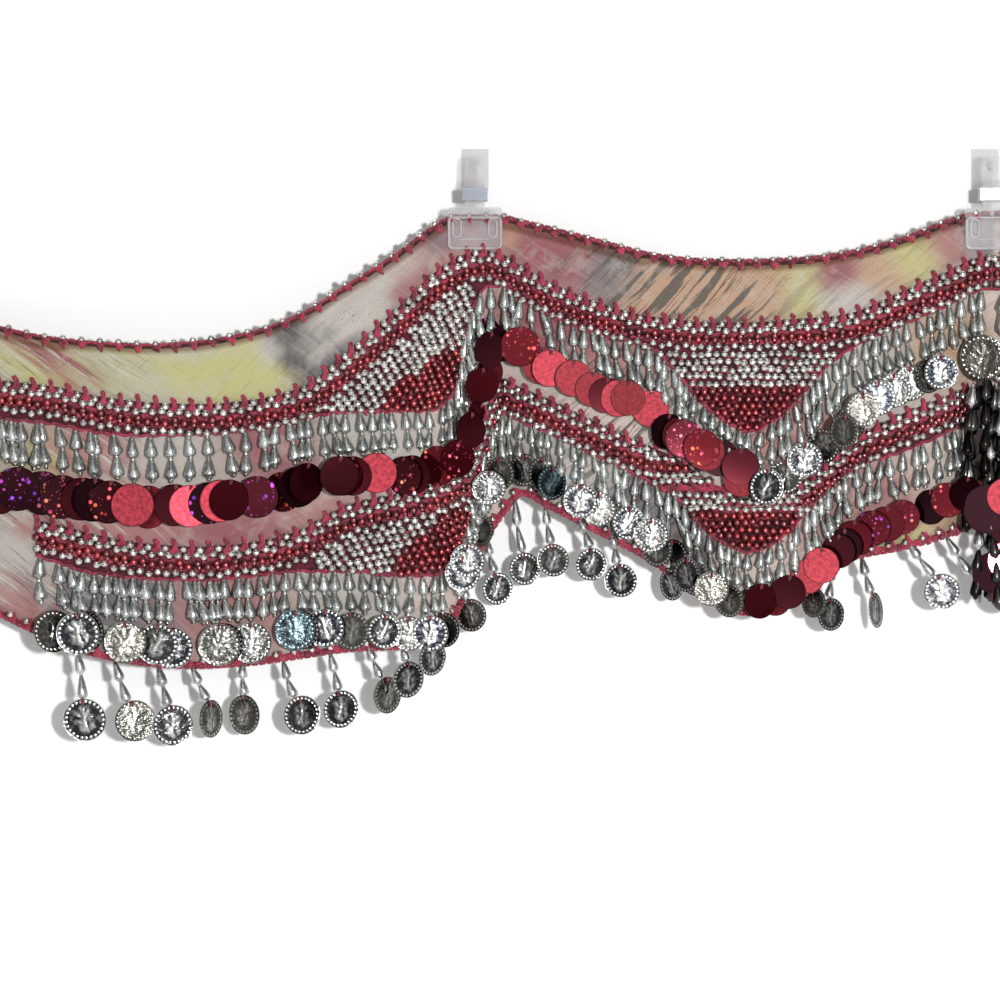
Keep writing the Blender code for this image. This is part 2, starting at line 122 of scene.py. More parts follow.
# Creases given one by one on the cloth: from (column, row) to (column, row), width, depth in mm.
CREASE_COLUMNS = ("c0", "r0", "c1", "r1", "width", "depth_mm")
CREASES = (
    (-40, 520, 30, 600, 7, 0.9), (-10, 540, 60, 616, 6, -0.8), (-60, 470, 0, 560, 9, 0.8),
    (10, 345, 90, 372, 6, 0.5), (60, 352, 130, 388, 5, -0.5), (-120, 330, -40, 372, 8, 0.7),
    (190, 352, 250, 392, 7, 0.5), (262, 345, 300, 372, 6, -0.6), (320, 310, 365, 345, 7, 0.7),
    (380, 270, 420, 300, 6, -0.7), (425, 238, 458, 266, 5, 0.8), (408, 262, 440, 268, 4, -0.5),
    (503, 226, 528, 264, 5, -0.8), (515, 226, 560, 272, 5, 0.8), (545, 240, 600, 292, 7, -0.6),
    (630, 262, 668, 306, 6, 0.5), (700, 272, 730, 312, 8, -0.5), (772, 270, 790, 312, 6, 0.6),
    (828, 262, 838, 308, 5, 0.7), (868, 250, 905, 286, 6, -0.6), (915, 240, 948, 266, 5, 0.6),
    (942, 226, 968, 258, 4, -0.7), (140, 530, 260, 536, 8, 0.6), (60, 525, 120, 530, 5, -0.5),
    (300, 514, 345, 505, 6, 0.6), (-210, 260, -228, 420, 10, 1.4), (-235, 262, -262, 430, 8, -1.3),
    (-216, 262, -190, 400, 9, -1.2), (-300, 330, -292, 560, 12, 1.6), (-318, 430, -270, 650, 10, -1.4),
    (-325, 520, -300, 740, 9, 1.3), (-150, 300, -110, 540, 11, 1.0), (-90, 330, -60, 560, 9, -0.9),
)


def mono(xs, ys):
    """Monotone cubic through the points, for arrays."""
    xs, ys = np.array(xs, float), np.array(ys, float)
    h, n = np.diff(xs), len(xs)
    m = np.diff(ys) / h
    d = np.zeros(n)
    d[0], d[-1] = m[0], m[-1]
    for i in range(1, n - 1):
        if m[i - 1] * m[i] > 0:
            w1, w2 = 2 * h[i] + h[i - 1], h[i] + 2 * h[i - 1]
            d[i] = (w1 + w2) / (w1 / m[i - 1] + w2 / m[i])

    def at(x):
        x = np.clip(np.asarray(x, float), xs[0], xs[-1])
        i = np.clip(np.searchsorted(xs, x, side="right") - 1, 0, n - 2)
        t = (x - xs[i]) / h[i]
        return (
            ys[i] * (1 + 2 * t) * (1 - t) ** 2
            + d[i] * h[i] * t * (1 - t) ** 2
            + ys[i + 1] * t * t * (3 - 2 * t)
            + d[i + 1] * h[i] * t * t * (t - 1)
        )

    return at


CHART = {
    name: mono([r[0] for r in SECTIONS], [r[k] for r in SECTIONS])
    for k, name in enumerate(COLUMNS)
}


def smooth(x):
    x = np.clip(x, 0.0, 1.0)
    return x * x * (3 - 2 * x)


def share(s, down):
    return (down - CHART["td"](s)) / (CHART["hd"](s) - CHART["td"](s))


def to_segment(c, r, c0, r0, c1, r1):
    """Distance in the chart from a point to a segment."""
    dc, dr = c1 - c0, r1 - r0
    t = np.clip(((c - c0) * dc + (r - r0) * dr) / (dc * dc + dr * dr), 0, 1)
    return np.hypot(c - c0 - t * dc, r - r0 - t * dr)


def surface(s, down, creased=True):
    """The cloth's middle surface, metres, with Y growing towards the wall."""
    s, down = np.broadcast_arrays(np.asarray(s, float), np.asarray(down, float))
    v = share(s, down)
    across = CHART["ta"](s) * (1 - v) + CHART["ha"](s) * v
    y = np.zeros(s.shape)
    for c, w, mm in FOLDS:
        y += mm * np.exp(-(((s - c) / w) ** 2))
    c, w, mm = FOLDS[-2]
    y += np.where(s > MID - 160, mm * np.exp(-(((2 * MID - s - c) / w) ** 2)), 0.0)
    y *= smooth((np.clip(v, 0, 1) - 0.13) / 0.62)
    for a, b, mm in BOWS:
        y += np.where((s > a) & (s < b), mm * np.sin(math.pi * (s - a) / (b - a)) ** 2, 0.0)
    if creased:
        for c0, r0, c1, r1, w, mm in CREASES:
            y += mm * np.exp(-((to_segment(across, down, c0, r0, c1, r1) / w) ** 2))
    return np.stack([(across - MID) * U, y * MM, (PEG - down) * U], -1)


def slope(name, s):
    return (CHART[name](s + 3) - CHART[name](np.minimum(s - 3, MID - 6))) / 6.0


def stretch(name, s):
    """How much taller a strip along that row looks where the row is steep."""
    return (1 + np.minimum(np.abs(slope(name, s)), 2.5) ** 2) ** 0.35


# The beads, drops and discs are not all of one size along the scarf.
BEAD_SIZE = ((-560, 1.0), (250, 1.0), (400, 0.96), (480, 0.93), (560, 0.92), (780, 0.92), (900, 0.95), (992, 0.96))
DISC_SIZE = ((-560, 1.03), (250, 1.02), (320, 0.96), (380, 0.88), (480, 0.8), (600, 0.79), (760, 0.82), (992, 0.84))


def sized(table, s):
    return np.interp(s, [a for a, _ in table], [b for _, b in table])


def walk(down, s0, s1, spacing, phase=0.0, table=BEAD_SIZE):
    """Section numbers spaced evenly along the cloth on the line down(s), closer where the beads are smaller."""
    s = np.arange(s0, s1, 0.5)
    p = surface(s, down(s), creased=False)
    steps = np.linalg.norm(np.diff(p, axis=0), axis=1) / sized(table, s[1:])
    run = np.concatenate([[0], np.cumsum(steps)]) / U
    return np.interp(np.arange(phase, run[-1], spacing), run, s)


# ----------------------------------------------------------- building meshes
def srgb(code):
    c = np.array([int(code[k:k + 2], 16) / 255 for k in (0, 2, 4)])
    return np.where(c <= 0.04045, c / 12.92, ((c + 0.055) / 1.055) ** 2.4)


def mesh(name, verts, faces, mat, smooth_shaded=True, floats=(), colours=(), uv=None, slots=None):
    """A mesh object from arrays. faces is one array, or several with different numbers of sides."""
    faces = [faces] if isinstance(faces, np.ndarray) else faces
    me = bpy.data.meshes.new(name)
    verts = np.asarray(verts, np.float32)
    me.vertices.add(len(verts))
    me.vertices.foreach_set("co", verts.ravel())
    loops = np.concatenate([f.ravel() for f in faces]).astype(np.int32)
    sides = np.concatenate([np.full(len(f), f.shape[1]) for f in faces])
    me.loops.add(len(loops))
    me.loops.foreach_set("vertex_index", loops)
    me.polygons.add(len(sides))
    me.polygons.foreach_set("loop_start", np.concatenate([[0], np.cumsum(sides)[:-1]]).astype(np.int32))
    me.polygons.foreach_set("use_smooth", np.full(len(sides), bool(smooth_shaded)))
    for m in mat if isinstance(mat, (list, tuple)) else [mat]:
        me.materials.append(m)
    if slots is not None:
        me.polygons.foreach_set("material_index", np.asarray(slots, np.int32))
    for key, values in floats:
        me.attributes.new(key, "FLOAT", "POINT").data.foreach_set("value", np.asarray(values, np.float32))
    for key, values in colours:
        rgba = np.concatenate([values, np.ones((len(values), 1))], 1).astype(np.float32)
        me.attributes.new(key, "FLOAT_COLOR", "POINT").data.foreach_set("color", rgba.ravel())
    if uv is not None:
        layer = me.uv_layers.new(name="chart")
        layer.data.foreach_set("uv", np.asarray(uv, np.float32)[loops].ravel())
    me.update(calc_edges=True)
    me.validate()
    obj = bpy.data.objects.new(name, me)
    bpy.context.scene.collection.objects.link(obj)
    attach(obj, "root")
    return obj


class Pile:
    """Collects copies of small base shapes, to be joined into one mesh."""

    def __init__(self):
        self.v, self.f, self.n = [], {}, 0
        self.extra = {}

    def add(self, base, positions, rotations=None, scales=None, **values):
        bv, bf = base["v"], base["f"]
        positions = np.asarray(positions, float).reshape(-1, 3)
        count = len(positions)
        if not count:
            return
        v = np.broadcast_to(bv, (count, *bv.shape)).copy()
        if scales is not None:
            scales = np.asarray(scales, float)
            v *= scales.reshape(count, 1, -1)
        if rotations is not None:
            v = np.einsum("nij,nkj->nki", rotations, v)
        v += positions[:, None, :]
        self.v.append(v.reshape(-1, 3))
        for f in bf:
            g = f[None] + (np.arange(count) * len(bv) + self.n)[:, None, None]
            self.f.setdefault(f.shape[1], []).append(g.reshape(-1, f.shape[1]))
        for key, value in values.items():
            value = np.asarray(value, float)
            if value.ndim == 0:
                value = np.full(count, float(value))
            self.extra.setdefault(key, []).append(np.repeat(value, len(bv), axis=0))
        for key, value in base.get("values", {}).items():
            self.extra.setdefault(key, []).append(np.tile(value, count))
        if "uv" in base:
            offsets = np.asarray(values.get("seed", np.zeros(count)), float)
            uv = base["uv"][None] + np.stack([offsets * 7.31, offsets * 3.77], -1)[:, None, :]
            self.extra.setdefault("_uv", []).append(uv.reshape(-1, 2))
        self.n += count * len(bv)

    def add_raw(self, v, f, **values):
        self.v.append(v)
        self.f.setdefault(f.shape[1], []).append(f + self.n)
        for key, value in values.items():
            self.extra.setdefault(key, []).append(np.full(len(v), float(value)))
        self.n += len(v)

    def build(self, name, mat):
        extra = {k: np.concatenate(x) for k, x in self.extra.items()}
        uv = extra.pop("_uv", None)
        floats = [(k, x) for k, x in extra.items() if x.ndim == 1]
        return mesh(name, np.concatenate(self.v), [np.concatenate(x) for x in self.f.values()], mat,
                    floats=floats, uv=uv)


def euler(yaw=0.0, pitch=0.0, lean=0.0):
    """Rotation matrices: lean in the plane of the wall, pitch about X, then yaw about Z. Degrees."""
    yaw, pitch, lean = (np.radians(np.asarray(a, float)) for a in np.broadcast_arrays(yaw, pitch, lean))
    z, o = np.zeros(lean.shape), np.ones(lean.shape)
    cy, sy, cp, sp, cl, sl = np.cos(yaw), np.sin(yaw), np.cos(pitch), np.sin(pitch), np.cos(lean), np.sin(lean)
    rz = np.stack([cy, -sy, z, sy, cy, z, z, z, o], -1).reshape(-1, 3, 3)
    rx = np.stack([o, z, z, z, cp, -sp, z, sp, cp], -1).reshape(-1, 3, 3)
    ry = np.stack([cl, z, sl, z, o, z, -sl, z, cl], -1).reshape(-1, 3, 3)
    return rz @ rx @ ry


FLIP = np.diag([-1.0, 1.0, 1.0])


def mirrored(p, r=None):
    p = np.asarray(p, float) * np.array([-1.0, 1.0, 1.0])
    return (p, FLIP @ r @ FLIP) if r is not None else p


def from_bm(make):
    bm = bmesh.new()
    make(bm)
    bmesh.ops.triangulate(bm, faces=bm.faces[:])
    v = np.array([p.co for p in bm.verts])
    f = np.array([[p.index for p in q.verts] for q in bm.faces])
    bm.free()
    return {"v": v, "f": [f]}


def lathe(profile, sides, axis="z"):
    """A turned shape from (height, radius) pairs, top to bottom; the ends close on the axis."""
    rings = [(h, r) for h, r in profile if r > 0]
    a = np.arange(sides) * 2 * math.pi / sides
    v = [np.stack([r * np.cos(a), r * np.sin(a), np.full(sides, h)], -1) for h, r in rings]
    n = len(rings)
    i, k = np.arange(sides), (np.arange(sides) + 1) % sides
    quads = [np.stack([j * sides + i, (j + 1) * sides + i, (j + 1) * sides + k, j * sides + k], -1)
             for j in range(n - 1)]
    v.append(np.array([[0, 0, profile[0][0]], [0, 0, profile[-1][0]]]))
    top, foot = n * sides, n * sides + 1
    tris = np.concatenate([
        np.stack([np.full(sides, top), i, k], -1),
        np.stack([np.full(sides, foot), (n - 1) * sides + k, (n - 1) * sides + i], -1),
    ])
    return {"v": np.concatenate(v), "f": [np.concatenate(quads), tris]}


def cord(points, radius, sides=6, ply=0.22, twist=14.0, out=(0, -1, 0)):
    """A two-ply thread along points, as (verts, faces). twist is its pitch in chart units."""
    p = np.asarray(points, float)
    t = np.gradient(p, axis=0)
    t /= np.linalg.norm(t, axis=1)[:, None] + 1e-12
    o = np.broadcast_to(np.array(out, float), p.shape)
    n = o - (o * t).sum(1)[:, None] * t
    n /= np.linalg.norm(n, axis=1)[:, None] + 1e-12
    b = np.cross(t, n)
    run = np.concatenate([[0], np.cumsum(np.linalg.norm(np.diff(p, axis=0), axis=1))])
    a = np.arange(sides) * 2 * math.pi / sides
    phase = run / (twist * U) * 2 * math.pi
    r = radius * (1 + ply * np.cos(2 * (a[None] - phase[:, None])))
    v = p[:, None] + r[..., None] * (np.cos(a)[None, :, None] * n[:, None] + np.sin(a)[None, :, None] * b[:, None])
    m = len(p)
    i, k = np.arange(sides), (np.arange(sides) + 1) % sides
    j = np.arange(m - 1)[:, None] * sides
    f = np.stack([j + i, j + k, j + sides + k, j + sides + i], -1).reshape(-1, 4)
    return v.reshape(-1, 3), f


# -------------------------------------------------------------- materials
def tree(name):
    m = bpy.data.materials.new(name)
    m.use_nodes = True
    nodes, links = m.node_tree.nodes, m.node_tree.links
    return m, nodes, links, nodes["Principled BSDF"]


def node(nodes, kind, **settings):
    n = nodes.new(kind)
    for key, value in settings.items():
        if key in n.inputs:
            n.inputs[key].default_value = value
        else:
            setattr(n, key, value)
    return n


def ramp(nodes, stops, interpolation="LINEAR"):
    n = nodes.new("ShaderNodeValToRGB")
    n.color_ramp.interpolation = interpolation
    while len(n.color_ramp.elements) < len(stops):
        n.color_ramp.elements.new(0.5)
    for e, (at, colour) in zip(n.color_ramp.elements, stops):
        e.position = at
        e.color = (*colour, 1.0)
    return n


def maths(nodes, links, operation, a, b=None, clamp=False):
    n = nodes.new("ShaderNodeMath")
    n.operation = operation
    n.use_clamp = clamp
    for k, x in enumerate((a, b)):
        if x is None:
            continue
        if isinstance(x, (int, float)):
            n.inputs[k].default_value = x
        else:
            links.new(x, n.inputs[k])
    return n.outputs[0]


def mix(nodes, links, factor, a, b, blend="MIX"):
    n = nodes.new("ShaderNodeMix")
    n.data_type = "RGBA"
    n.blend_type = blend
    for socket, x in ((n.inputs[0], factor), (n.inputs[6], a), (n.inputs[7], b)):
        if isinstance(x, (int, float)):
            socket.default_value = x
        elif isinstance(x, (tuple, list, np.ndarray)):
            socket.default_value = (*[float(q) for q in x], 1.0)
        else:
            links.new(x, socket)
    return n.outputs[2]


def bump(nodes, links, bsdf, height, strength, distance):
    n = nodes.new("ShaderNodeBump")
    n.inputs["Strength"].default_value = strength
    n.inputs["Distance"].default_value = distance
    links.new(height, n.inputs["Height"])
    links.new(n.outputs[0], bsdf.inputs["Normal"])


def chiffon():
    """Sheer chiffon with a brushed print. The broad colours come from the chart, the strokes from stretched noise."""
    m, nodes, links, bsdf = tree("printed_chiffon")
    base = node(nodes, "ShaderNodeAttribute", attribute_name="wash").outputs["Color"]
    ink = node(nodes, "ShaderNodeAttribute", attribute_name="ink").outputs["Color"]
    falling = node(nodes, "ShaderNodeAttribute", attribute_name="falling").outputs["Fac"]
    rising = node(nodes, "ShaderNodeAttribute", attribute_name="rising").outputs["Fac"]
    hemmed = node(nodes, "ShaderNodeAttribute", attribute_name="hemmed").outputs["Fac"]
    uv = nodes.new("ShaderNodeUVMap")
    uv.uv_map = "chart"
    bend = node(nodes, "ShaderNodeTexNoise", Scale=14.0, Detail=1.5)
    links.new(uv.outputs[0], bend.inputs["Vector"])
    shift = nodes.new("ShaderNodeVectorMath")
    shift.operation = "MULTIPLY_ADD"
    links.new(bend.outputs["Color"], shift.inputs[0])
    shift.inputs[1].default_value = (0.020, 0.020, 0.0)
    links.new(uv.outputs[0], shift.inputs[2])

    def strokes(angle, along, across, low, high, detail=3.0):
        """Brush strokes at that angle in degrees above the level: 1 in a stroke, with a dry broken edge."""
        place = node(nodes, "ShaderNodeMapping")
        place.vector_type = "TEXTURE"
        place.inputs["Rotation"].default_value = (0, 0, math.radians(angle))
        place.inputs["Scale"].default_value = (along, across, 1.0)
        links.new(shift.outputs[0], place.inputs["Vector"])
        n = node(nodes, "ShaderNodeTexNoise", Scale=1.0, Detail=detail, Roughness=0.55)
        links.new(place.outputs[0], n.inputs["Vector"])
        dry = node(nodes, "ShaderNodeTexNoise", Scale=1500.0, Detail=1.0)
        links.new(uv.outputs[0], dry.inputs["Vector"])
        rough = maths(nodes, links, "MULTIPLY_ADD", dry.outputs["Fac"], 0.10)
        rough.node.inputs[2].default_value = -0.05
        value = maths(nodes, links, "ADD", n.outputs["Fac"], rough)
        edge = ramp(nodes, [(low, (0, 0, 0)), (high, (1, 1, 1))])
        links.new(value, edge.inputs[0])
        return edge.outputs[0]

    # soft broad strokes falling to the right, in the wash's second colour and in white
    a = strokes(-33, 0.060, 0.0052, 0.50, 0.56)
    cloth = mix(nodes, links, maths(nodes, links, "MULTIPLY", maths(nodes, links, "MULTIPLY", a, falling), 0.85), base, ink)
    a = strokes(-33, 0.050, 0.0034, 0.56, 0.60)
    cloth = mix(nodes, links, maths(nodes, links, "MULTIPLY", maths(nodes, links, "MULTIPLY", a, falling), 0.8), cloth, srgb("b8b5ab"))
    a = strokes(-35, 0.030, 0.0011, 0.60, 0.66)
    cloth = mix(nodes, links, maths(nodes, links, "MULTIPLY", maths(nodes, links, "MULTIPLY", a, falling), 0.7), cloth, srgb("4c3a3c"))
    # dry strokes rising to the right
    b = strokes(41, 0.042, 0.0036, 0.52, 0.565, 4.0)
    cloth = mix(nodes, links, maths(nodes, links, "MULTIPLY", maths(nodes, links, "MULTIPLY", b, rising), 0.9), cloth, srgb("57534e"))
    b = strokes(44, 0.030, 0.0012, 0.58, 0.62)
    cloth = mix(nodes, links, maths(nodes, links, "MULTIPLY", maths(nodes, links, "MULTIPLY", b, rising), 0.75), cloth, srgb("6a433e"))
    b = strokes(40, 0.020, 0.0009, 0.60, 0.68)
    cloth = mix(nodes, links, maths(nodes, links, "MULTIPLY", b, 0.28), cloth, srgb("5c5836"))
    # pale blooms, and a few speckles
    bloom = node(nodes, "ShaderNodeTexNoise", Scale=70.0, Detail=4.0, Roughness=0.6)
    links.new(shift.outputs[0], bloom.inputs["Vector"])
    pale = ramp(nodes, [(0.54, (0, 0, 0)), (0.66, (1, 1, 1))])
    links.new(bloom.outputs["Fac"], pale.inputs[0])
    cloth = mix(nodes, links, maths(nodes, links, "MULTIPLY", pale.outputs[0], 0.4), cloth, srgb("b3aea6"))
    specks = node(nodes, "ShaderNodeTexVoronoi", Scale=420.0, Randomness=1.0)
    links.new(uv.outputs[0], specks.inputs["Vector"])
    dots = ramp(nodes, [(0.10, (1, 1, 1)), (0.17, (0, 0, 0))])
    links.new(specks.outputs["Distance"], dots.inputs[0])
    sparse = node(nodes, "ShaderNodeTexNoise", Scale=38.0, Detail=2.0)
    links.new(uv.outputs[0], sparse.inputs["Vector"])
    few = ramp(nodes, [(0.60, (0, 0, 0)), (0.68, (1, 1, 1))])
    links.new(sparse.outputs["Fac"], few.inputs[0])
    cloth = mix(nodes, links, maths(nodes, links, "MULTIPLY", dots.outputs[0], few.outputs[0]), cloth, srgb("3a3334"))
    # where the hem is folded over, the print is twice as deep
    cloth = mix(nodes, links, hemmed, cloth, mix(nodes, links, 1.0, cloth, srgb("c2ae9e"), "MULTIPLY"))
    # thread grain
    grain = node(nodes, "ShaderNodeTexNoise", Scale=1700.0, Detail=2.0)
    links.new(uv.outputs[0], grain.inputs["Vector"])
    shade = ramp(nodes, [(0.3, (0.80, 0.80, 0.80)), (0.7, (1.08, 1.08, 1.08))])
    links.new(grain.outputs["Fac"], shade.inputs[0])
    cloth = mix(nodes, links, 1.0, cloth, shade.outputs[0], "MULTIPLY")
    links.new(cloth, bsdf.inputs["Base Color"])
    bsdf.inputs["Roughness"].default_value = 0.78
    bsdf.inputs["Specular IOR Level"].default_value = 0.2
    bsdf.inputs["Sheen Weight"].default_value = 0.1
    bump(nodes, links, bsdf, grain.outputs["Fac"], 0.25, 0.0002)
    through = nodes.new("ShaderNodeBsdfTranslucent")
    links.new(cloth, through.inputs[0])
    both = nodes.new("ShaderNodeMixShader")
    both.inputs[0].default_value = 0.15
    links.new(bsdf.outputs[0], both.inputs[1])
    links.new(through.outputs[0], both.inputs[2])
    links.new(both.outputs[0], nodes["Material Output"].inputs["Surface"])
    return m


def thread(name, colour, dark, scale=1500.0):
    """Crochet thread: fuzzy, with painted shade in the hollows between the fibres."""
    m, nodes, links, bsdf = tree(name)
    where = nodes.new("ShaderNodeTexCoord").outputs["Object"]
    fibre = node(nodes, "ShaderNodeTexNoise", Scale=scale, Detail=3.0, Roughness=0.7)
    links.new(where, fibre.inputs["Vector"])
    broad = node(nodes, "ShaderNodeTexNoise", Scale=160.0, Detail=2.0)
    links.new(where, broad.inputs["Vector"])
    both = maths(nodes, links, "MULTIPLY_ADD", broad.outputs["Fac"], 0.5)
    both.node.inputs[2].default_value = -0.25
    total = maths(nodes, links, "ADD", fibre.outputs["Fac"], both)
    # painted shade: the colour darkens where the bump below is low, in the hollows between the fibres
    shade = ramp(nodes, [(0.34, dark), (0.66, colour)])
    links.new(total, shade.inputs[0])
    links.new(shade.outputs[0], bsdf.inputs["Base Color"])
    bsdf.inputs["Roughness"].default_value = 0.75
    bsdf.inputs["Sheen Weight"].default_value = 0.3
    bsdf.inputs["Sheen Roughness"].default_value = 0.4
    bsdf.inputs["Specular IOR Level"].default_value = 0.3
    bump(nodes, links, bsdf, fibre.outputs["Fac"], 0.8, 0.0006)
    return m


def metal(name, light, dark, low, high, bump_scale=900.0, bump_strength=0.08, coat=0.0, metallic=1.0):
    """Metallised finish whose tone changes from one copy to the next, by the attribute tone."""
    m, nodes, links, bsdf = tree(name)
    tone = node(nodes, "ShaderNodeAttribute", attribute_name="tone").outputs["Fac"]
    links.new(mix(nodes, links, tone, dark, light), bsdf.inputs["Base Color"])
    bsdf.inputs["Metallic"].default_value = metallic
    where = nodes.new("ShaderNodeTexCoord").outputs["Object"]
    wear = node(nodes, "ShaderNodeTexNoise", Scale=bump_scale, Detail=3.0)
    links.new(where, wear.inputs["Vector"])
    rough = node(nodes, "ShaderNodeMapRange")
    rough.inputs["To Min"].default_value, rough.inputs["To Max"].default_value = low, high
    links.new(wear.outputs["Fac"], rough.inputs["Value"])
    links.new(rough.outputs[0], bsdf.inputs["Roughness"])
    if coat:
        bsdf.inputs["Coat Weight"].default_value = coat
        bsdf.inputs["Coat Roughness"].default_value = 0.2
        bsdf.inputs["Coat IOR"].default_value = 1.9
    bump(nodes, links, bsdf, wear.outputs["Fac"], bump_strength, 0.0004)
    return m


def coin_metal():
    """Pressed light metal: a fine struck texture over the relief, which is painted lighter than the field as painted
    highlight and painted shade.
    """
    m, nodes, links, bsdf = tree("pressed_coin")
    tone = node(nodes, "ShaderNodeAttribute", attribute_name="tone").outputs["Fac"]
    blue = node(nodes, "ShaderNodeAttribute", attribute_name="blue").outputs["Fac"]
    raised = node(nodes, "ShaderNodeAttribute", attribute_name="raised").outputs["Fac"]
    uv = nodes.new("ShaderNodeUVMap")
    uv.uv_map = "chart"
    struck = node(nodes, "ShaderNodeTexNoise", Scale=6.5, Detail=4.0, Roughness=0.62)
    links.new(uv.outputs[0], struck.inputs["Vector"])
    blotches = maths(nodes, links, "MULTIPLY_ADD", struck.outputs["Fac"], 1.5)
    blotches.node.inputs[2].default_value = -0.78
    # painted light: the raised relief and the rim's dots are painted lighter and the field between them darker, with
    # noise blotches; tone, listed coin by coin, paints some copies as lit ones with more contrast
    level = maths(nodes, links, "ADD", raised, blotches, clamp=True)
    high = mix(nodes, links, tone, srgb("a3a199"), srgb("e2e2e0"))
    low = mix(nodes, links, tone, srgb("5e5c56"), srgb("2a2d34"))
    colour = mix(nodes, links, level, low, high)
    links.new(mix(nodes, links, blue, colour, mix(nodes, links, 1.0, colour, srgb("b4d4e4"), "MULTIPLY")), bsdf.inputs["Base Color"])
    bsdf.inputs["Metallic"].default_value = 1.0
    rough = node(nodes, "ShaderNodeMapRange")
    rough.inputs["To Min"].default_value, rough.inputs["To Max"].default_value = 0.12, 0.24
    links.new(struck.outputs["Fac"], rough.inputs["Value"])
    links.new(rough.outputs[0], bsdf.inputs["Roughness"])
    bump(nodes, links, bsdf, struck.outputs["Fac"], 0.55, 0.0010)
    return m


def paillette_film():
    """Metallised film: satin red or pink, plain wine, or dark with holographic dots, by the attributes kind and tone;
    the dots carry a painted glint and glow, and each disc's edge a painted highlight and painted shade.
    """
    m, nodes, links, bsdf = tree("paillette_film")
    kind = node(nodes, "ShaderNodeAttribute", attribute_name="kind").outputs["Fac"]   # 0 satin, 0.5 wine, 1 dotted
    tone = node(nodes, "ShaderNodeAttribute", attribute_name="tone").outputs["Fac"]
    hue = node(nodes, "ShaderNodeAttribute", attribute_name="hue").outputs["Fac"]
    uv = nodes.new("ShaderNodeUVMap")
    uv.uv_map = "chart"
    grain = node(nodes, "ShaderNodeTexNoise", Scale=9.0, Detail=5.0, Roughness=0.72)
    links.new(uv.outputs[0], grain.inputs["Vector"])
    satin = mix(nodes, links, tone, srgb("46090f"), srgb("aa3845"))
    frost = ramp(nodes, [(0.36, (0.5, 0.5, 0.5)), (0.64, (1.2, 1.2, 1.2))])
    links.new(grain.outputs["Fac"], frost.inputs[0])
    satin = mix(nodes, links, 1.0, satin, frost.outputs[0], "MULTIPLY")
    wine = mix(nodes, links, tone, srgb("2a0c15"), srgb("64151f"))
    dots = node(nodes, "ShaderNodeTexVoronoi", Scale=5.2, Randomness=1.0)
    links.new(uv.outputs[0], dots.inputs["Vector"])
    spot = ramp(nodes, [(0.19, (1, 1, 1)), (0.29, (0, 0, 0))])
    links.new(dots.outputs["Distance"], spot.inputs[0])
    fine = node(nodes, "ShaderNodeTexVoronoi", Scale=12.0, Randomness=1.0)
    links.new(uv.outputs[0], fine.inputs["Vector"])
    tiny = ramp(nodes, [(0.10, (1, 1, 1)), (0.17, (0, 0, 0))])
    links.new(fine.outputs["Distance"], tiny.inputs[0])
    # painted glint: the dots take their colours only where this noise patch is painted lit
    patch = node(nodes, "ShaderNodeTexNoise", Scale=1.6, Detail=1.0)
    links.new(uv.outputs[0], patch.inputs["Vector"])
    painted_glint_patch = ramp(nodes, [(0.42, (0.15, 0.15, 0.15)), (0.58, (1, 1, 1))])
    links.new(patch.outputs["Fac"], painted_glint_patch.inputs[0])
    dots_and_painted_glint = maths(nodes, links, "MULTIPLY", maths(nodes, links, "MAXIMUM", spot.outputs[0], tiny.outputs[0]), painted_glint_patch.outputs[0])
    warm = ramp(nodes, [(0.0, srgb("ff9a3c")), (0.4, srgb("ff6a4a")), (0.7, srgb("ff4f86")), (1.0, srgb("ffd27a"))])
    links.new(dots.outputs["Color"], warm.inputs[0])
    cool = ramp(nodes, [(0.0, srgb("7a4bff")), (0.5, srgb("c04bd8")), (1.0, srgb("ff4fa8"))])
    links.new(dots.outputs["Color"], cool.inputs[0])
    fire = mix(nodes, links, hue, warm.outputs[0], cool.outputs[0])
    dotted = mix(nodes, links, dots_and_painted_glint, wine, fire)
    first = maths(nodes, links, "MULTIPLY", kind, 2.0, clamp=True)
    second = maths(nodes, links, "MULTIPLY_ADD", kind, 2.0, clamp=True)
    second.node.inputs[2].default_value = -1.0
    colour = mix(nodes, links, second, mix(nodes, links, first, satin, wine), dotted)
    away = node(nodes, "ShaderNodeAttribute", attribute_name="away").outputs["Fac"]
    # painted light at each disc's edge: a thin painted highlight just inside the rim, and painted shade on the rim
    # itself
    rim = ramp(nodes, [(0.0, (1, 1, 1)), (0.90, (1, 1, 1)), (0.93, (1.25, 1.25, 1.25)), (0.97, (0.30, 0.26, 0.28))])
    links.new(away, rim.inputs[0])
    links.new(mix(nodes, links, 1.0, colour, rim.outputs[0], "MULTIPLY"), bsdf.inputs["Base Color"])
    metallic = maths(nodes, links, "SUBTRACT", 0.85, maths(nodes, links, "MULTIPLY", dots_and_painted_glint, maths(nodes, links, "MULTIPLY", second, 0.6)))
    links.new(metallic, bsdf.inputs["Metallic"])
    rough = maths(nodes, links, "SUBTRACT", 0.42, maths(nodes, links, "MULTIPLY", first, 0.29))
    links.new(rough, bsdf.inputs["Roughness"])
    links.new(fire, bsdf.inputs["Emission Color"])
    # painted glow: the dots of the dotted discs emit light in their own colours
    painted_glow = maths(nodes, links, "MULTIPLY", maths(nodes, links, "MULTIPLY", dots_and_painted_glint, second), 0.5)
    links.new(painted_glow, bsdf.inputs["Emission Strength"])
    frosted = maths(nodes, links, "MULTIPLY", grain.outputs["Fac"], maths(nodes, links, "SUBTRACT", 1.0, first))
    bump(nodes, links, bsdf, frosted, 0.35, 0.0005)
    return m


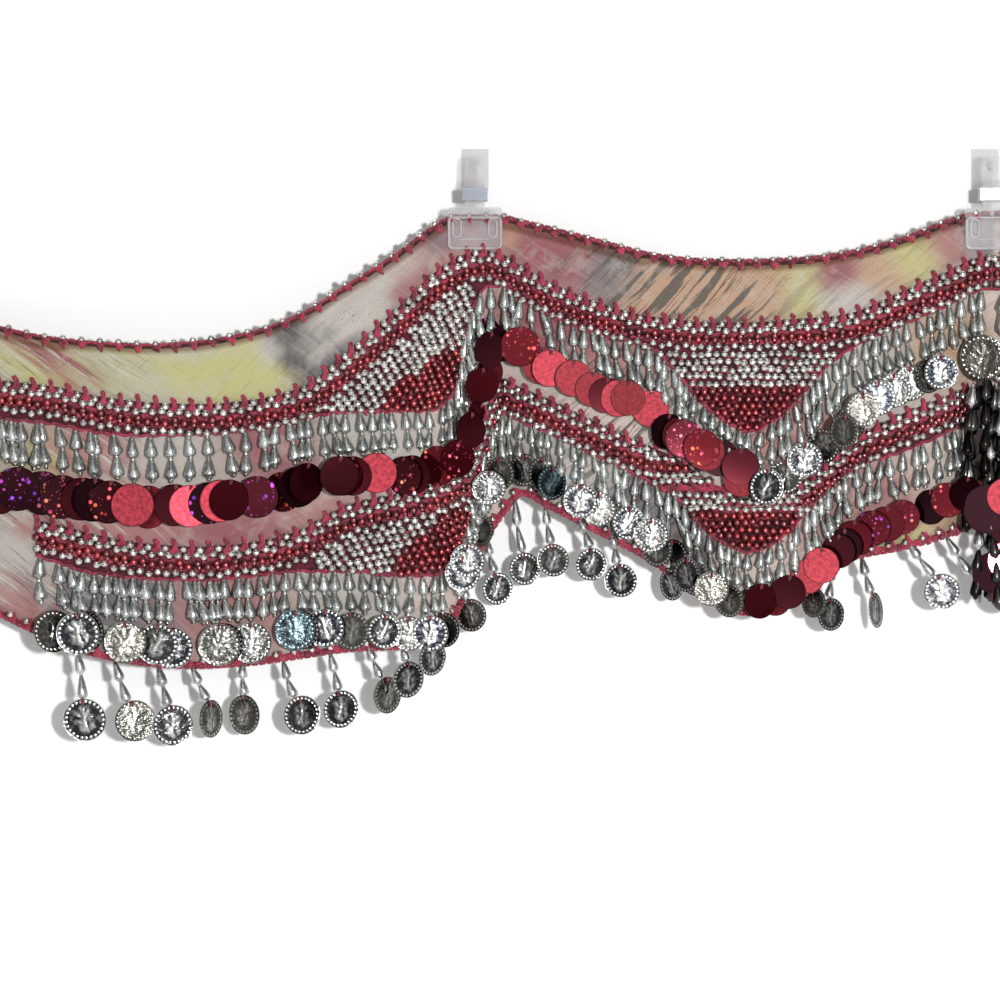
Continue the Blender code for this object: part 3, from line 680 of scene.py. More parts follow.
def clear_plastic(name="clear_moulded_plastic", alpha=0.24, low=(0.40, 0.385, 0.40), high=(0.52, 0.50, 0.52)):
    m, nodes, links, bsdf = tree(name)
    where = nodes.new("ShaderNodeTexCoord").outputs["Object"]
    haze = node(nodes, "ShaderNodeTexNoise", Scale=120.0, Detail=3.0)
    links.new(where, haze.inputs["Vector"])
    tint = ramp(nodes, [(0.3, low), (0.7, high)])
    links.new(haze.outputs["Fac"], tint.inputs[0])
    links.new(tint.outputs[0], bsdf.inputs["Base Color"])
    bsdf.inputs["Roughness"].default_value = 0.16
    bsdf.inputs["IOR"].default_value = 1.49
    bsdf.inputs["Alpha"].default_value = alpha
    bump(nodes, links, bsdf, haze.outputs["Fac"], 0.08, 0.0005)
    return m


def plain_metal(name, colour, roughness):
    m, nodes, links, bsdf = tree(name)
    where = nodes.new("ShaderNodeTexCoord").outputs["Object"]
    brushed = node(nodes, "ShaderNodeMapping")
    brushed.inputs["Scale"].default_value = (60.0, 60.0, 2400.0)
    links.new(where, brushed.inputs["Vector"])
    lines = node(nodes, "ShaderNodeTexNoise", Scale=1.0, Detail=3.0)
    links.new(brushed.outputs[0], lines.inputs["Vector"])
    shade = ramp(nodes, [(0.3, tuple(colour * 0.8)), (0.7, tuple(colour))])
    links.new(lines.outputs["Fac"], shade.inputs[0])
    links.new(shade.outputs[0], bsdf.inputs["Base Color"])
    bsdf.inputs["Metallic"].default_value = 1.0
    bsdf.inputs["Roughness"].default_value = roughness
    bump(nodes, links, bsdf, lines.outputs["Fac"], 0.1, 0.0003)
    return m


CHIFFON = chiffon()
CRIMSON = thread("crimson_thread", tuple(srgb("b43650")), tuple(srgb("350610")))
KNOT = thread("knot_thread", tuple(srgb("8c2136")), tuple(srgb("2c060e")))
NET = thread("crochet_net", tuple(srgb("64142a")), tuple(srgb("0f0204")), 1100.0)
ROLLED = thread("rolled_edge", tuple(srgb("54161f")), tuple(srgb("140909")), 420.0)
SILVER = metal("silver_bead", tuple(srgb("f0efec")), tuple(srgb("c2beba")), 0.07, 0.16, bump_scale=800.0, bump_strength=0.45)
RED = metal("red_bead", tuple(srgb("aa1c28")), tuple(srgb("640c16")), 0.26, 0.36, coat=0.8, bump_strength=0.2)
DROP = metal("silver_drop", tuple(srgb("cacdca")), tuple(srgb("9a9d9b")), 0.12, 0.26, bump_scale=640.0, bump_strength=0.5, metallic=0.9)
# silver drops whose dark tones are painted shade, for the centre tassel in the fold
PAINTED_SHADE_DROP = metal("dark_drop", tuple(srgb("d0d0ce")), tuple(srgb("171213")), 0.16, 0.3)
COIN = coin_metal()
FILM = paillette_film()
CLEAR = clear_plastic()
RIM = clear_plastic("clear_plastic_rims", 0.36, (0.50, 0.48, 0.49), (0.62, 0.60, 0.61))
STEEL = plain_metal("spring_steel", srgb("7c8088"), 0.2)
HEM_ROLL = thread("hem_roll", tuple(srgb("a42c42")), tuple(srgb("300610")), 600.0)

# ------------------------------------------------------------ the chiffon
# Broad washes of the print: column, row, half width, half height, lean in degrees, colour, how streaky.
WASH_COLUMNS = ("column", "row", "half_width", "half_height", "lean", "colour", "streaky")
FALLING = ((-560, 0.5), (-60, 0.8), (20, 1.0), (120, 1.0), (172, 0.25), (260, 0.05), (290, 0.25), (345, 0.15), (420, 0.2), (992, 0.15))
RISING = ((-560, 0.3), (150, 0.0), (270, 0.1), (300, 0.28), (345, 0.1), (540, 0.1), (590, 0.8), (640, 1.0), (750, 1.0), (790, 0.3), (992, 0.2))
YELLOW, PINK, GREY, PALE, PEACH, ROSE, SLATE = "b1ae78", "a07270", "6e6c70", "b2ada6", "ae9078", "8f565b", "4c4b50"
WASHES = (
    (-320, 690, 40, 60, 20, PINK, 0.3), (-312, 560, 36, 70, 10, YELLOW, 0.4), (-300, 430, 36, 70, 10, GREY, 0.7),
    (-262, 330, 30, 60, 0, PALE, 0.2), (-230, 520, 40, 60, 15, ROSE, 0.4), (-190, 330, 40, 50, -10, PINK, 0.3),
    (-140, 420, 46, 90, 30, PALE, 0.3), (-90, 340, 44, 40, 30, YELLOW, 0.3), (-80, 500, 50, 60, 35, GREY, 0.5),
    (-20, 400, 40, 60, 30, PALE, 0.2), (10, 350, 42, 16, -25, "a8a080", 0.45), (28, 372, 40, 14, -25, YELLOW, 0.2),
    (12, 560, 36, 36, -35, PALE, 0.3), (34, 604, 30, 24, -35, PINK, 0.4), (-2, 600, 26, 24, -35, PINK, 0.3),
    (72, 366, 34, 16, -25, ROSE, 0.5), (112, 372, 30, 20, -30, "a9a684", 0.3), (142, 380, 26, 16, -30, "a7a58e", 0.4),
    (218, 372, 56, 26, -8, YELLOW, 0.12), (190, 350, 34, 12, 0, PALE, 0.2), (292, 334, 20, 11, 35, SLATE, 0.6),
    (271, 352, 10, 12, -40, PALE, 0.4), (294, 362, 14, 10, -30, SLATE, 0.5), (318, 357, 9, 12, 40, PALE, 0.4),
    (314, 341, 20, 11, 35, "7c7b78", 0.1), (352, 352, 14, 8, 32, "77767a", 0.2), (420, 284, 26, 12, 36, ROSE, 0.1),
    (330, 362, 30, 9, 30, SLATE, 0.7), (340, 316, 40, 18, 32, PALE, 0.15), (378, 300, 30, 20, 32, PALE, 0.3),
    (408, 268, 22, 14, 32, PALE, 0.2), (428, 270, 34, 22, 40, PINK, 0.15), (440, 244, 16, 10, 40, GREY, 0.3),
    (472, 234, 30, 18, 0, PINK, 0.1), (400, 292, 20, 10, 40, ROSE, 0.1),
    (510, 238, 12, 10, -30, PEACH, 0.2), (530, 250, 30, 14, -30, ROSE, 0.3), (566, 258, 30, 20, -20, ROSE, 0.15),
    (612, 276, 28, 20, -20, GREY, 0.6), (665, 290, 44, 26, 0, PEACH, 1.0), (720, 294, 44, 26, 0, PEACH, 1.0),
    (766, 292, 30, 26, 10, PEACH, 0.7), (800, 288, 20, 26, 5, YELLOW, 0.1), (836, 278, 22, 14, 10, ROSE, 0.2),
    (846, 294, 26, 14, 10, PALE, 0.1), (884, 272, 26, 16, 15, PEACH, 0.3), (912, 258, 24, 18, 20, YELLOW, 0.2),
    (950, 242, 22, 18, 30, PINK, 0.35), (975, 234, 16, 20, 30, GREY, 0.3),
    (90, 450, 60, 30, -10, PINK, 0.2), (180, 450, 60, 30, -6, PALE, 0.3), (50, 455, 34, 20, -10, YELLOW, 0.1),
    (270, 446, 50, 26, 0, ROSE, 0.3), (360, 436, 50, 24, 0, PALE, 0.2), (60, 536, 40, 12, -10, PINK, 0.3),
    (140, 532, 60, 12, 0, PINK, 0.25), (230, 532, 60, 14, 5, ROSE, 0.2), (310, 516, 46, 12, 10, PINK, 0.2),
    (120, 610, 60, 40, 0, GREY, 0.2), (230, 610, 60, 40, 0, PINK, 0.2), (340, 606, 50, 40, 0, PALE, 0.2),
    (560, 330, 50, 26, -20, ROSE, 0.2), (620, 360, 40, 24, -20, PINK, 0.3), (690, 420, 40, 24, -30, PALE, 0.2),
    (800, 430, 40, 26, 30, PINK, 0.2), (880, 380, 46, 26, 25, PALE, 0.2), (940, 350, 36, 26, 25, PEACH, 0.3),
    (560, 470, 50, 30, -20, PALE, 0.1), (640, 520, 50, 30, -20, GREY, 0.2), (860, 520, 40, 40, 20, PINK, 0.3),
    (900, 540, 36, 12, 15, YELLOW, 0.2), (940, 528, 26, 12, 15, PEACH, 0.3),
)


def washes(c, r, flip):
    """Colour and streakiness of the print at a chart point. The other half takes its colours from further along."""
    c = c + np.where(flip, 46.0, 0.0)
    total = np.full(c.shape, 0.02)
    colour = np.broadcast_to(srgb("c4b4ac") * 0.02, (*c.shape, 3)).copy()
    streak = np.full(c.shape, 0.02 * 0.3)
    for wc, wr, hw, hh, lean, code, sk in WASHES:
        a = math.radians(-lean)
        x, y = c - wc, r - wr
        u, w = x * math.cos(a) + y * math.sin(a), -x * math.sin(a) + y * math.cos(a)
        k = np.exp(-((u / hw) ** 2 + (w / hh) ** 2) * 1.6)
        total += k
        colour += k[..., None] * srgb(code)
        streak += k * sk
    return colour / total[..., None], streak / total


half_s = np.concatenate([np.arange(-560, 380, 8.0), np.arange(380, 540, 4.0), np.arange(540, 992, 7.0), [992.0]])
all_s = np.concatenate([half_s, half_s[::-1][1:]])
right = np.arange(len(all_s)) >= len(half_s)
vs = np.concatenate([np.linspace(0, 0.09, 7), np.linspace(0.105, 0.42, 14), np.linspace(0.45, 1, 18)])
SS, VV = np.meshgrid(all_s, vs)
RR = CHART["td"](SS) * (1 - VV) + CHART["hd"](SS) * VV
CC = CHART["ta"](SS) * (1 - VV) + CHART["ha"](SS) * VV
P = surface(SS, RR)
FL = np.broadcast_to(right, SS.shape)
P[..., 0] = np.where(FL, -P[..., 0], P[..., 0])
rows_n, cols_n = SS.shape
idx = np.arange(rows_n * cols_n).reshape(rows_n, cols_n)
quads = np.stack([idx[1:, :-1], idx[1:, 1:], idx[:-1, 1:], idx[:-1, :-1]], -1).reshape(-1, 4)
tint, streaky = washes(CC, RR, FL)
ink, _ = washes(CC + 34, RR + 14, FL)
span = CHART["hd"](SS) - CHART["td"](SS)
hemmed = (VV * span < 9.0).astype(float)
uv = np.stack([np.where(FL, 2 * MID - CC, CC) * U, (1000 - RR) * U], -1)
cloth = mesh("chiffon_cloth", P.reshape(-1, 3), quads, CHIFFON,
             floats=[("falling", sized(FALLING, CC).ravel()), ("rising", sized(RISING, CC).ravel()), ("hemmed", hemmed.ravel())],
             colours=[("wash", tint.reshape(-1, 3)), ("ink", ink.reshape(-1, 3))], uv=uv.reshape(-1, 2))
wall = cloth.modifiers.new("thickness", "SOLIDIFY")
wall.thickness = 0.0005
wall.offset = 0.0
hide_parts("cloth_panel")

# ------------------------------------------------------------ base shapes
BEAD_R = 4.45 * U


def dome(angles, sides):
    """The shown part of a unit ball: its pole faces -Y, and angles are its rings' degrees from the pole."""
    a = np.arange(sides) * 2 * math.pi / sides
    v = [np.array([[0.0, -1.0, 0.0]])]
    for degrees in angles:
        q = math.radians(degrees)
        v.append(np.stack([math.sin(q) * np.cos(a), np.full(sides, -math.cos(q)), math.sin(q) * np.sin(a)], -1))
    i, k = np.arange(sides), (np.arange(sides) + 1) % sides
    quads = [np.stack([1 + j * sides + i, 1 + (j + 1) * sides + i, 1 + (j + 1) * sides + k, 1 + j * sides + k], -1)
             for j in range(len(angles) - 1)]
    tris = np.stack([np.zeros(sides, int), 1 + i, 1 + k], -1)
    return {"v": np.concatenate(v), "f": ([np.concatenate(quads)] if quads else []) + [tris]}


ball = dome((38, 76, 114), 9)
seed_bead = dome((50, 100), 7)
DROP_L = 22.5
drop = lathe([(0, 0), (-0.3, 1.9), (-4.5, 3.3), (-10.0, 4.9), (-15.4, 6.1), (-18.2, 5.8), (-20.3, 2.7), (-22.3, 1.7), (-22.7, 0)], 8)
drop["v"] *= U
stitch = lathe([(1.0, 0), (0.7, 0.55), (0.0, 0.95), (-0.7, 0.7), (-1.0, 0)], 6)


def tube(points, radii, sides=6):
    """A bent tapering tube in the XZ plane, closed at its ends."""
    p = np.array([[x, 0.0, z] for x, z in points], float)
    t = np.gradient(p, axis=0)
    t /= np.linalg.norm(t, axis=1)[:, None]
    n = np.stack([-t[:, 2], np.zeros(len(p)), t[:, 0]], -1)
    a = np.arange(sides) * 2 * math.pi / sides
    r = np.array(radii, float)[:, None, None]
    v = p[:, None] + r * (np.cos(a)[None, :, None] * n[:, None] + np.sin(a)[None, :, None] * np.array([0, 1.0, 0]))
    m = len(p)
    i, k = np.arange(sides), (np.arange(sides) + 1) % sides
    j = np.arange(m - 1)[:, None] * sides
    quads = np.stack([j + i, j + sides + i, j + sides + k, j + k], -1).reshape(-1, 4)
    v = np.concatenate([v.reshape(-1, 3), p[:1] - t[:1] * radii[0] * 0.6, p[-1:] + t[-1:] * radii[-1] * 0.6])
    a0, a1 = m * sides, m * sides + 1
    tris = np.concatenate([np.stack([np.full(sides, a0), i, k], -1),
                           np.stack([np.full(sides, a1), (m - 1) * sides + k, (m - 1) * sides + i], -1)])
    return {"v": v * U, "f": [quads, tris]}


# A picot leans over at its top; a tooth of the edging is a wedge that points down.
picot = tube([(2.2, -9.5), (1.8, -6.0), (1.0, -2.4), (0.2, 1.4), (-1.0, 4.2), (-2.2, 5.6)], [3.3, 2.8, 2.4, 2.3, 2.7, 2.1])
picot2 = tube([(-2.2, -9.0), (-1.4, -5.5), (-0.6, -2.0), (0.2, 1.2), (0.2, 3.4)], [2.8, 2.5, 2.2, 2.0, 1.4])
tooth = tube([(-3.2, 2.6), (-1.6, 0.6), (-0.3, -2.2), (0.5, -5.2)], [1.9, 2.2, 2.0, 1.2])
tooth2 = tube([(3.4, 2.6), (2.0, 0.2), (1.0, -2.4), (0.6, -4.6)], [1.7, 1.9, 1.6, 1.1])


knob = tube([(-1.6, 3.4), (-0.2, 1.8), (0.4, -0.6), (0.2, -2.6)], [2.4, 2.9, 2.6, 1.5])


def disc_base(radius, thick, rings, sides, height, dots=0, dot_r=1.0, dot_at=0.86):
    """A disc facing -Y, with relief height(r, a) on its front, and a row of round dots near its rim."""
    a = np.arange(sides) * 2 * math.pi / sides
    rr = np.array(rings, float) if isinstance(rings, tuple) else np.linspace(0, 1, rings + 1)[1:]
    rings = len(rr)
    v, uvs = [np.array([[0, -float(height(np.array(0.0), np.array(0.0))), 0]])], [np.array([[0.5, 0.5]])]
    for r in rr:
        v.append(np.stack([r * radius * np.sin(a), -height(np.full(sides, r), a), r * radius * np.cos(a)], -1))
        uvs.append(np.stack([0.5 + 0.5 * r * np.sin(a), 0.5 + 0.5 * r * np.cos(a)], -1))
    n = 1 + rings * sides   # the rim's wall and the back have points of their own
    wall = np.stack([radius * np.sin(a), -height(np.ones(sides), a), radius * np.cos(a)], -1)
    back = np.stack([radius * np.sin(a), np.full(sides, thick), radius * np.cos(a)], -1)
    rim_uv = np.stack([0.5 + 0.5 * np.sin(a), 0.5 + 0.5 * np.cos(a)], -1)
    v += [wall, back, back, np.array([[0, thick, 0]])]
    uvs += [rim_uv, rim_uv, rim_uv, np.array([[0.5, 0.5]])]
    i, k = np.arange(sides), (np.arange(sides) + 1) % sides
    tris = [np.stack([np.zeros(sides, int), 1 + i, 1 + k], -1)]
    quads = []
    for j in range(rings - 1):
        o = 1 + j * sides
        quads.append(np.stack([o + i, o + sides + i, o + sides + k, o + k], -1))
    quads.append(np.stack([n + i, n + sides + i, n + sides + k, n + k], -1))
    tris.append(np.stack([np.full(sides, n + 3 * sides), n + 2 * sides + k, n + 2 * sides + i], -1))
    v, uvs = np.concatenate(v), np.concatenate(uvs)
    raised = np.clip(-v[:, 1] / MM / 0.34, 0, 1)
    away = np.hypot(v[:, 0], v[:, 2]) / radius
    if dots:
        bead = dome((78,), 7)
        bead["v"] = bead["v"] * dot_r
        keep = bead["f"][0]
        base = len(v)
        for m in range(dots):
            t = 2 * math.pi * (m + 0.5) / dots
            at = np.array([dot_at * radius * math.sin(t), -float(height(np.array(dot_at), np.array(t))), dot_at * radius * math.cos(t)])
            v = np.concatenate([v, bead["v"] * np.array([1, 0.6, 1]) + at])
            uvs = np.concatenate([uvs, np.full((len(bead["v"]), 2), 0.5) + 0.5 * dot_at * np.array([math.sin(t), math.cos(t)])])
            raised = np.concatenate([raised, np.full(len(bead["v"]), 1.0)])
            tris.append(keep + base)
            base += len(bead["v"])
    return {"v": v, "f": [np.concatenate(quads), np.concatenate(tris)], "uv": uvs, "values": {"raised": raised} if dots else {"away": away}}


def coin_relief(r, a):
    """Generic struck ornament in metres: a raised rim, and a sprig of paired leaves on a hollow field."""
    x, z = r * np.sin(a), r * np.cos(a)
    rim = 0.24 * smooth((r - 0.945) / 0.04)
    stem = np.exp(-(((x - 0.06 * np.sin(5 * z)) / 0.085) ** 2)) * smooth((0.66 - np.abs(z)) / 0.1)
    leaves = np.zeros(np.shape(x))
    for cz in (-0.42, -0.08, 0.26):
        for side in (-1, 1):
            u = (x - side * 0.24) * 0.83 - side * (z - cz - 0.06) * 0.56
            w = side * (x - side * 0.24) * 0.56 + (z - cz - 0.06) * 0.83
            leaves = np.maximum(leaves, np.exp(-((u / 0.085) ** 2 + (w / 0.19) ** 2)))
    return (rim + 0.34 * np.maximum(stem, 0.8 * leaves)) * MM


def cup(r, a):
    return (0.10 * r * r + 0.03 * np.cos(2 * a) * r * r) * MM


COIN_R, PAIL_R = 21.0 * U, 21.0 * U
coin = disc_base(COIN_R, 0.22 * MM, (0.12, 0.24, 0.36, 0.48, 0.60, 0.72, 0.83, 0.925, 0.965, 1.0), 30, coin_relief, dots=25, dot_r=1.55 * U)
paillette = disc_base(PAIL_R, 0.12 * MM, (0.33, 0.67, 0.90, 0.95, 1.0), 36, cup)

# ------------------------------------------------------------ bead panels
rng = np.random.default_rng(11)
PANELS = {
    "upper": {"b": "ub", "f": "uf", "d": "ud", "s": "us", "from": TAIL, "to": MID - 0.4},
    "lower": {"b": "lb", "f": "lf", "d": "ld", "s": "ls", "from": LOWER, "to": MID - 22.0},
}
# Rows of the panel, below the chart's row: offset, spacing, phase, colour, zigzag, how far they stand out in mm.
PANEL_ROWS = (
    (3.4, 17.6, 9.4, "silver", 0.0, 3.3), (9.9, 8.8, 4.6, "silver", 1.0, 3.6), (18.8, 9.2, 0.0, "red", 1.5, 3.3),
    (28.8, 8.8, 2.0, "silver", 1.3, 3.4),
)
PERIOD = 17.6
LAST = 28.8


def on_cloth(s, down, out_mm):
    p = surface(s, down, creased=False)
    p[..., 1] -= out_mm * MM
    return p


def row_line(panel, offset):
    b = panel["b"]
    level = 2.6 - 0.13 * offset   # where the panel runs level above its point, the rows sit a little lower
    return lambda s: CHART[b](s) + offset * stretch(b, s) + level * np.exp(-(((s - 730) / 62) ** 4))


LEVEL = (648.0, 797.0)   # where the lower panel's rows run level
LEVEL_ROWS = (452.5, 459.5, 467.0, 474.0, 481.0, 494.3, 501.3, 508.4, 515.5, 522.7, 529.8, 537.0, 544.2, 551.4)


def level_points():
    b, f = CHART["lb"], CHART["lf"]
    found = []
    for k, y in enumerate(LEVEL_ROWS):
        s = np.arange(LEVEL[0] - 2 + 3.9 * (k % 2), LEVEL[1] + 4, 7.8)
        r = np.full(s.shape, y) + 0.9 * np.sin(s / 11.0 + 1.3 * k)
        keep = (r > b(s) + 2.0) & (r < f(s) - 3.0)
        found += [(x, y2) for x, y2 in zip(s[keep], r[keep])]
    return np.array(found)


def fill_colour(where, c, r):
    """Which colour the filled points have: True for red."""
    if where == "upper":
        left = (c < 500) & (r > np.interp(c, [374, 384, 392, 412, 431, 461], [422, 405, 389, 378, 361, 345]))
        return left | ((c > 600) & (r > 388.0))
    left = (c < 480) & (r > np.interp(c, [372, 386, 408, 433, 452], [586, 574, 548, 527, 509]))
    return left | ((c > 640) & ((r > 512) | ((r > 463.5) & (r < 470.5) & (c < 735))))


def filled_points(where, panel):
    """Chart points of the beads that fill a panel's points below its last row."""
    b, f = panel["b"], panel["f"]
    found = []
    for k in range(16):   # rows that follow the panel's slope, left of the fold
        line = row_line(panel, LAST + 7.2 * (k + 1))
        s = walk(line, 318, 474, 8.7, 4.35 * (k % 2) + 1.0)
        r = line(s)
        keep = r < CHART[f](s) - 3.0
        found += [(x, y) for x, y in zip(s[keep], r[keep])]
    first = 355.4
    if where == "lower":
        return np.concatenate([np.array(found), level_points()])
    for k in range(16):   # level rows in the middle point
        s = np.arange(622 + 3.9 * (k % 2), 884, 7.8)
        r = np.full(s.shape, first + 7.25 * k) + 0.7 * np.sin(s / 9.0 + k)
        low = row_line(panel, LAST)(s)
        keep = (r < CHART[f](s) - 3.0) & (r > low + 6.0)
        found += [(x, y) for x, y in zip(s[keep], r[keep])]
    return np.array(found)


for where, panel in PANELS.items():
    silver, red = Pile(), Pile()
    for side in (0, 1):
        for offset, spacing, phase, colour, zig, out in PANEL_ROWS:
            line = row_line(panel, offset)
            s = walk(line, panel["from"] + 3, panel["to"], spacing, phase + side * 1.7)
            if where == "lower":
                s = s[(s < LEVEL[0]) | (s > LEVEL[1])]
            n = len(s)
            size = BEAD_R * sized(BEAD_SIZE, s)[:, None] * rng.uniform(0.95, 1.05, (n, 1))
            r = line(s) + zig * np.where(np.arange(n) % 2, 1, -1) + rng.normal(0, 0.4, n)
            p = on_cloth(s + rng.normal(0, 0.35, n), r, out + rng.uniform(-0.35, 0.35, n))
            p = mirrored(p) if side else p
            (silver if colour == "silver" else red).add(ball, p, scales=size, tone=rng.uniform(0, 1, n))
        # a second, half hidden row of red beads
        line = row_line(panel, 21.6)
        s = walk(line, panel["from"] + 8, panel["to"], 9.2, 4.6)
        if where == "lower":
            s = s[(s < LEVEL[0]) | (s > LEVEL[1])]
        p = on_cloth(s, line(s), 2.2)
        red.add(ball, mirrored(p) if side else p, scales=BEAD_R * 0.93 * sized(BEAD_SIZE, s)[:, None], tone=rng.uniform(0, 0.4, len(s)))
        pts = filled_points(where, panel)
        n = len(pts)
        s, r = pts[:, 0] + rng.normal(0, 0.5, n), pts[:, 1] + rng.normal(0, 0.5, n)
        is_red = fill_colour(where, s, r)
        p = on_cloth(s, r, 3.3 + rng.uniform(-0.45, 0.45, n))
        p = mirrored(p) if side else p
        size = BEAD_R * sized(BEAD_SIZE, s)[:, None] * rng.uniform(0.95, 1.06, (n, 1))
        for target, chosen in ((silver, ~is_red), (red, is_red)):
            target.add(ball, p[chosen], scales=size[chosen], tone=rng.uniform(0, 1, int(chosen.sum())))
    o = silver.build(f"{where}_silver_beads", SILVER)
    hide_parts(f"{where}_bead_panel")
    o = red.build(f"{where}_red_beads", RED)

    # the crocheted net behind the beads
    net_v, net_f, n0 = [], [], 0
    for side in (0, 1):
        ss = np.append(np.arange(panel["from"] + 2, panel["to"] - 2, 4.6), panel["to"])
        f = panel["f"]
        top, foot = row_line(panel, 0.5)(ss), CHART[f](ss) - 2.6
        w = np.linspace(0, 1, 13)[:, None]
        rr = top * (1 - w) + foot * w
        p = on_cloth(np.broadcast_to(ss, rr.shape), rr, 1.5)
        p[..., 1] -= 0.4 * MM * np.sin(rr * 0.83) * np.sin(np.broadcast_to(ss, rr.shape) * 0.72)
        if side:
            p[..., 0] *= -1
        ij = np.arange(p[..., 0].size).reshape(p.shape[:2]) + n0
        q = np.stack([ij[1:, :-1], ij[1:, 1:], ij[:-1, 1:], ij[:-1, :-1]], -1).reshape(-1, 4)
        net_v.append(p.reshape(-1, 3))
        net_f.append(q[:, ::-1] if side else q)
        n0 += p[..., 0].size
    o = mesh(f"{where}_crochet_net", np.concatenate(net_v), np.concatenate(net_f), NET)
    t = o.modifiers.new("thickness", "SOLIDIFY")
    t.thickness, t.offset = 0.0006, 0.0

    lace = Pile()
    for side in (0, 1):
        # the picots' middles sit a little above the first row
        line = row_line(panel, 0.2)
        s = walk(line, panel["from"] + 3, panel["to"], PERIOD, 0.6 + side * 1.7)
        n = len(s)
        for base, out, more in ((picot, 2.4, 0.0), (picot2, 3.0, 0.0)):
            p = on_cloth(s + (rng.normal(0.8, 0.5, n) if base is picot2 else 0.0), line(s), out)
            lean = rng.normal(0, 7, n)
            rot = euler(0, rng.normal(0, 5, n), lean)
            size = sized(BEAD_SIZE, s)[:, None] * np.stack([rng.uniform(0.85, 1.05, n), np.full(n, 0.9), rng.uniform(0.85, 1.1, n)], -1)
            p, rot = mirrored(p, rot) if side else (p, rot)
            lace.add(base, p, rot, size)
        for offset, radius, out, wave in ((13.9, 1.5, 2.5, 0.9), (23.4, 1.5, 2.3, 0.9), (15.2, 1.3, 2.0, 1.0), (0, 1.5, 2.4, 0.9)):
            ss = np.arange(panel["from"] + 3, panel["to"] + 1, 3.85)
            if offset <= 0:   # the last threads run along the panel's foot, round the filled points
                rr = CHART[panel["f"]](ss) - 2.0 + offset
            else:
                rr = row_line(panel, offset)(ss)
            pts = on_cloth(ss, rr + wave * np.sin(ss * 2 * math.pi / 15.4), out)
            v, q = cord(mirrored(pts) if side else pts, radius * U, sides=5)
            lace.add_raw(v, q)
        if where == "lower":
            ss = np.arange(660.0, 742.0, 2.6)
            rr = 487.6 + 0.8 * np.sin(ss * 0.42)
            keep = rr > CHART["lb"](ss) + 1.0
            for add, out in ((0.0, 3.2), (1.9, 2.9)):
                pts = on_cloth(ss[keep], rr[keep] + add, out)
                v, q = cord(mirrored(pts) if side else pts, 1.6 * U, sides=5)
                lace.add_raw(v, q)
        # stitches between the beads of the rows
        for offset, out in ((6.4, 2.6), (14.2, 2.9), (23.2, 2.9)):
            line = row_line(panel, offset)
            s = walk(line, panel["from"] + 5, panel["to"], 8.8, 1.0 + 3.0 * rng.uniform())
            n = len(s)
            q = on_cloth(s, line(s) + rng.normal(0, 0.6, n), out)
            rot = euler(0, 0, rng.uniform(-60, 60, n))
            q, rot = mirrored(q, rot) if side else (q, rot)
            lace.add(stitch, q, rot, np.stack([np.full(n, 1.5), np.full(n, 1.4), np.full(n, 3.4)], -1) * U)
        # thread showing between the filled rows
        pts = filled_points(where, panel)
        pts = pts[rng.uniform(0, 1, len(pts)) < 0.55]
        n = len(pts)
        q = on_cloth(pts[:, 0] + 4.0, pts[:, 1] + 3.4, 2.7)
        rot = euler(0, 0, rng.uniform(40, 140, n))
        q, rot = mirrored(q, rot) if side else (q, rot)
        lace.add(stitch, q, rot, np.stack([np.full(n, 1.5), np.full(n, 1.4), np.full(n, 4.0)], -1) * U)
    o = lace.build(f"{where}_crochet_threads", CRIMSON)

    # ------------------------------------------------- drops
    drops, ties, ends = Pile(), Pile(), Pile()
    for side in (0, 1):
        f, d = panel["f"], panel["d"]
        foot = CHART[f]
        wide_to = 262 if where == "upper" else 60
        loose = walk(foot, panel["from"] + 5, min(wide_to, panel["to"]), 18.6, 3.0)
        loose = loose + rng.normal(0, 1.0, len(loose))
        tight = walk(foot, wide_to, panel["to"] - 2, 12.3 if where == "upper" else 12.8, 2.0)
        s = np.concatenate([loose, tight + rng.normal(0, 1.3, len(tight))])
        crowd = rng.uniform(-60, 96, 9) if where == "upper" else rng.uniform(60, 300, 8)   # a few extra, out of line
        s = np.sort(np.concatenate([s, crowd]))
        s = s[s < panel["to"]]
        n = len(s)
        wide = sized(DISC_SIZE, s)
        room = np.clip((CHART[d](s) - foot(s)) / 2, 21.5 * np.sqrt(wide), 24.5)
        layer = np.arange(n) % 2
        top = on_cloth(s, foot(s) + rng.uniform(-1.5, 0.8, n) - 0.5, 3.0 + 1.6 * layer)
        lean1, lean2 = rng.normal(-3, 6, n), rng.normal(-6, 7, n)
        k = room / DROP_L
        r1, r2 = euler(0, rng.normal(3, 2, n), lean1), euler(0, rng.normal(-2, 3, n), lean2)
        size = np.stack([wide * rng.uniform(0.98, 1.12, n), wide * rng.uniform(0.9, 1.0, n), k * rng.uniform(0.97, 1.06, n)], -1)
        second = top + np.einsum("nij,nj->ni", r1, np.stack([np.zeros(n), np.zeros(n), -k * 21.6 * U], -1))
        second[:, 1] -= 0.5 * MM
        if side:
            a, ra = mirrored(top, r1)
            b2, rb = mirrored(second, r2)
        else:
            a, ra, b2, rb = top, r1, second, r2
        drops.add(drop, a, ra, size, tone=rng.uniform(0.1, 1, n))
        drops.add(drop, b2, rb, size, tone=rng.uniform(0.1, 1, n))
        for at, rot in ((a, ra), (b2, rb)):
            up = at + np.einsum("nij,nj->ni", rot, np.broadcast_to([0, 0, 1.2 * U], (n, 3)))
            ties.add(stitch, up, rot, np.broadcast_to(np.array([1.0, 1.0, 2.0]) * U, (n, 3)))
            end = at + np.einsum("nij,nj->ni", rot, np.stack([np.zeros(n), np.full(n, -1.6 * U), -k * 21.9 * U], -1))
            ends.add(seed_bead, end, scales=rng.uniform(1.7, 2.4, (n, 1)) * U, tone=rng.uniform(0.3, 1, n))
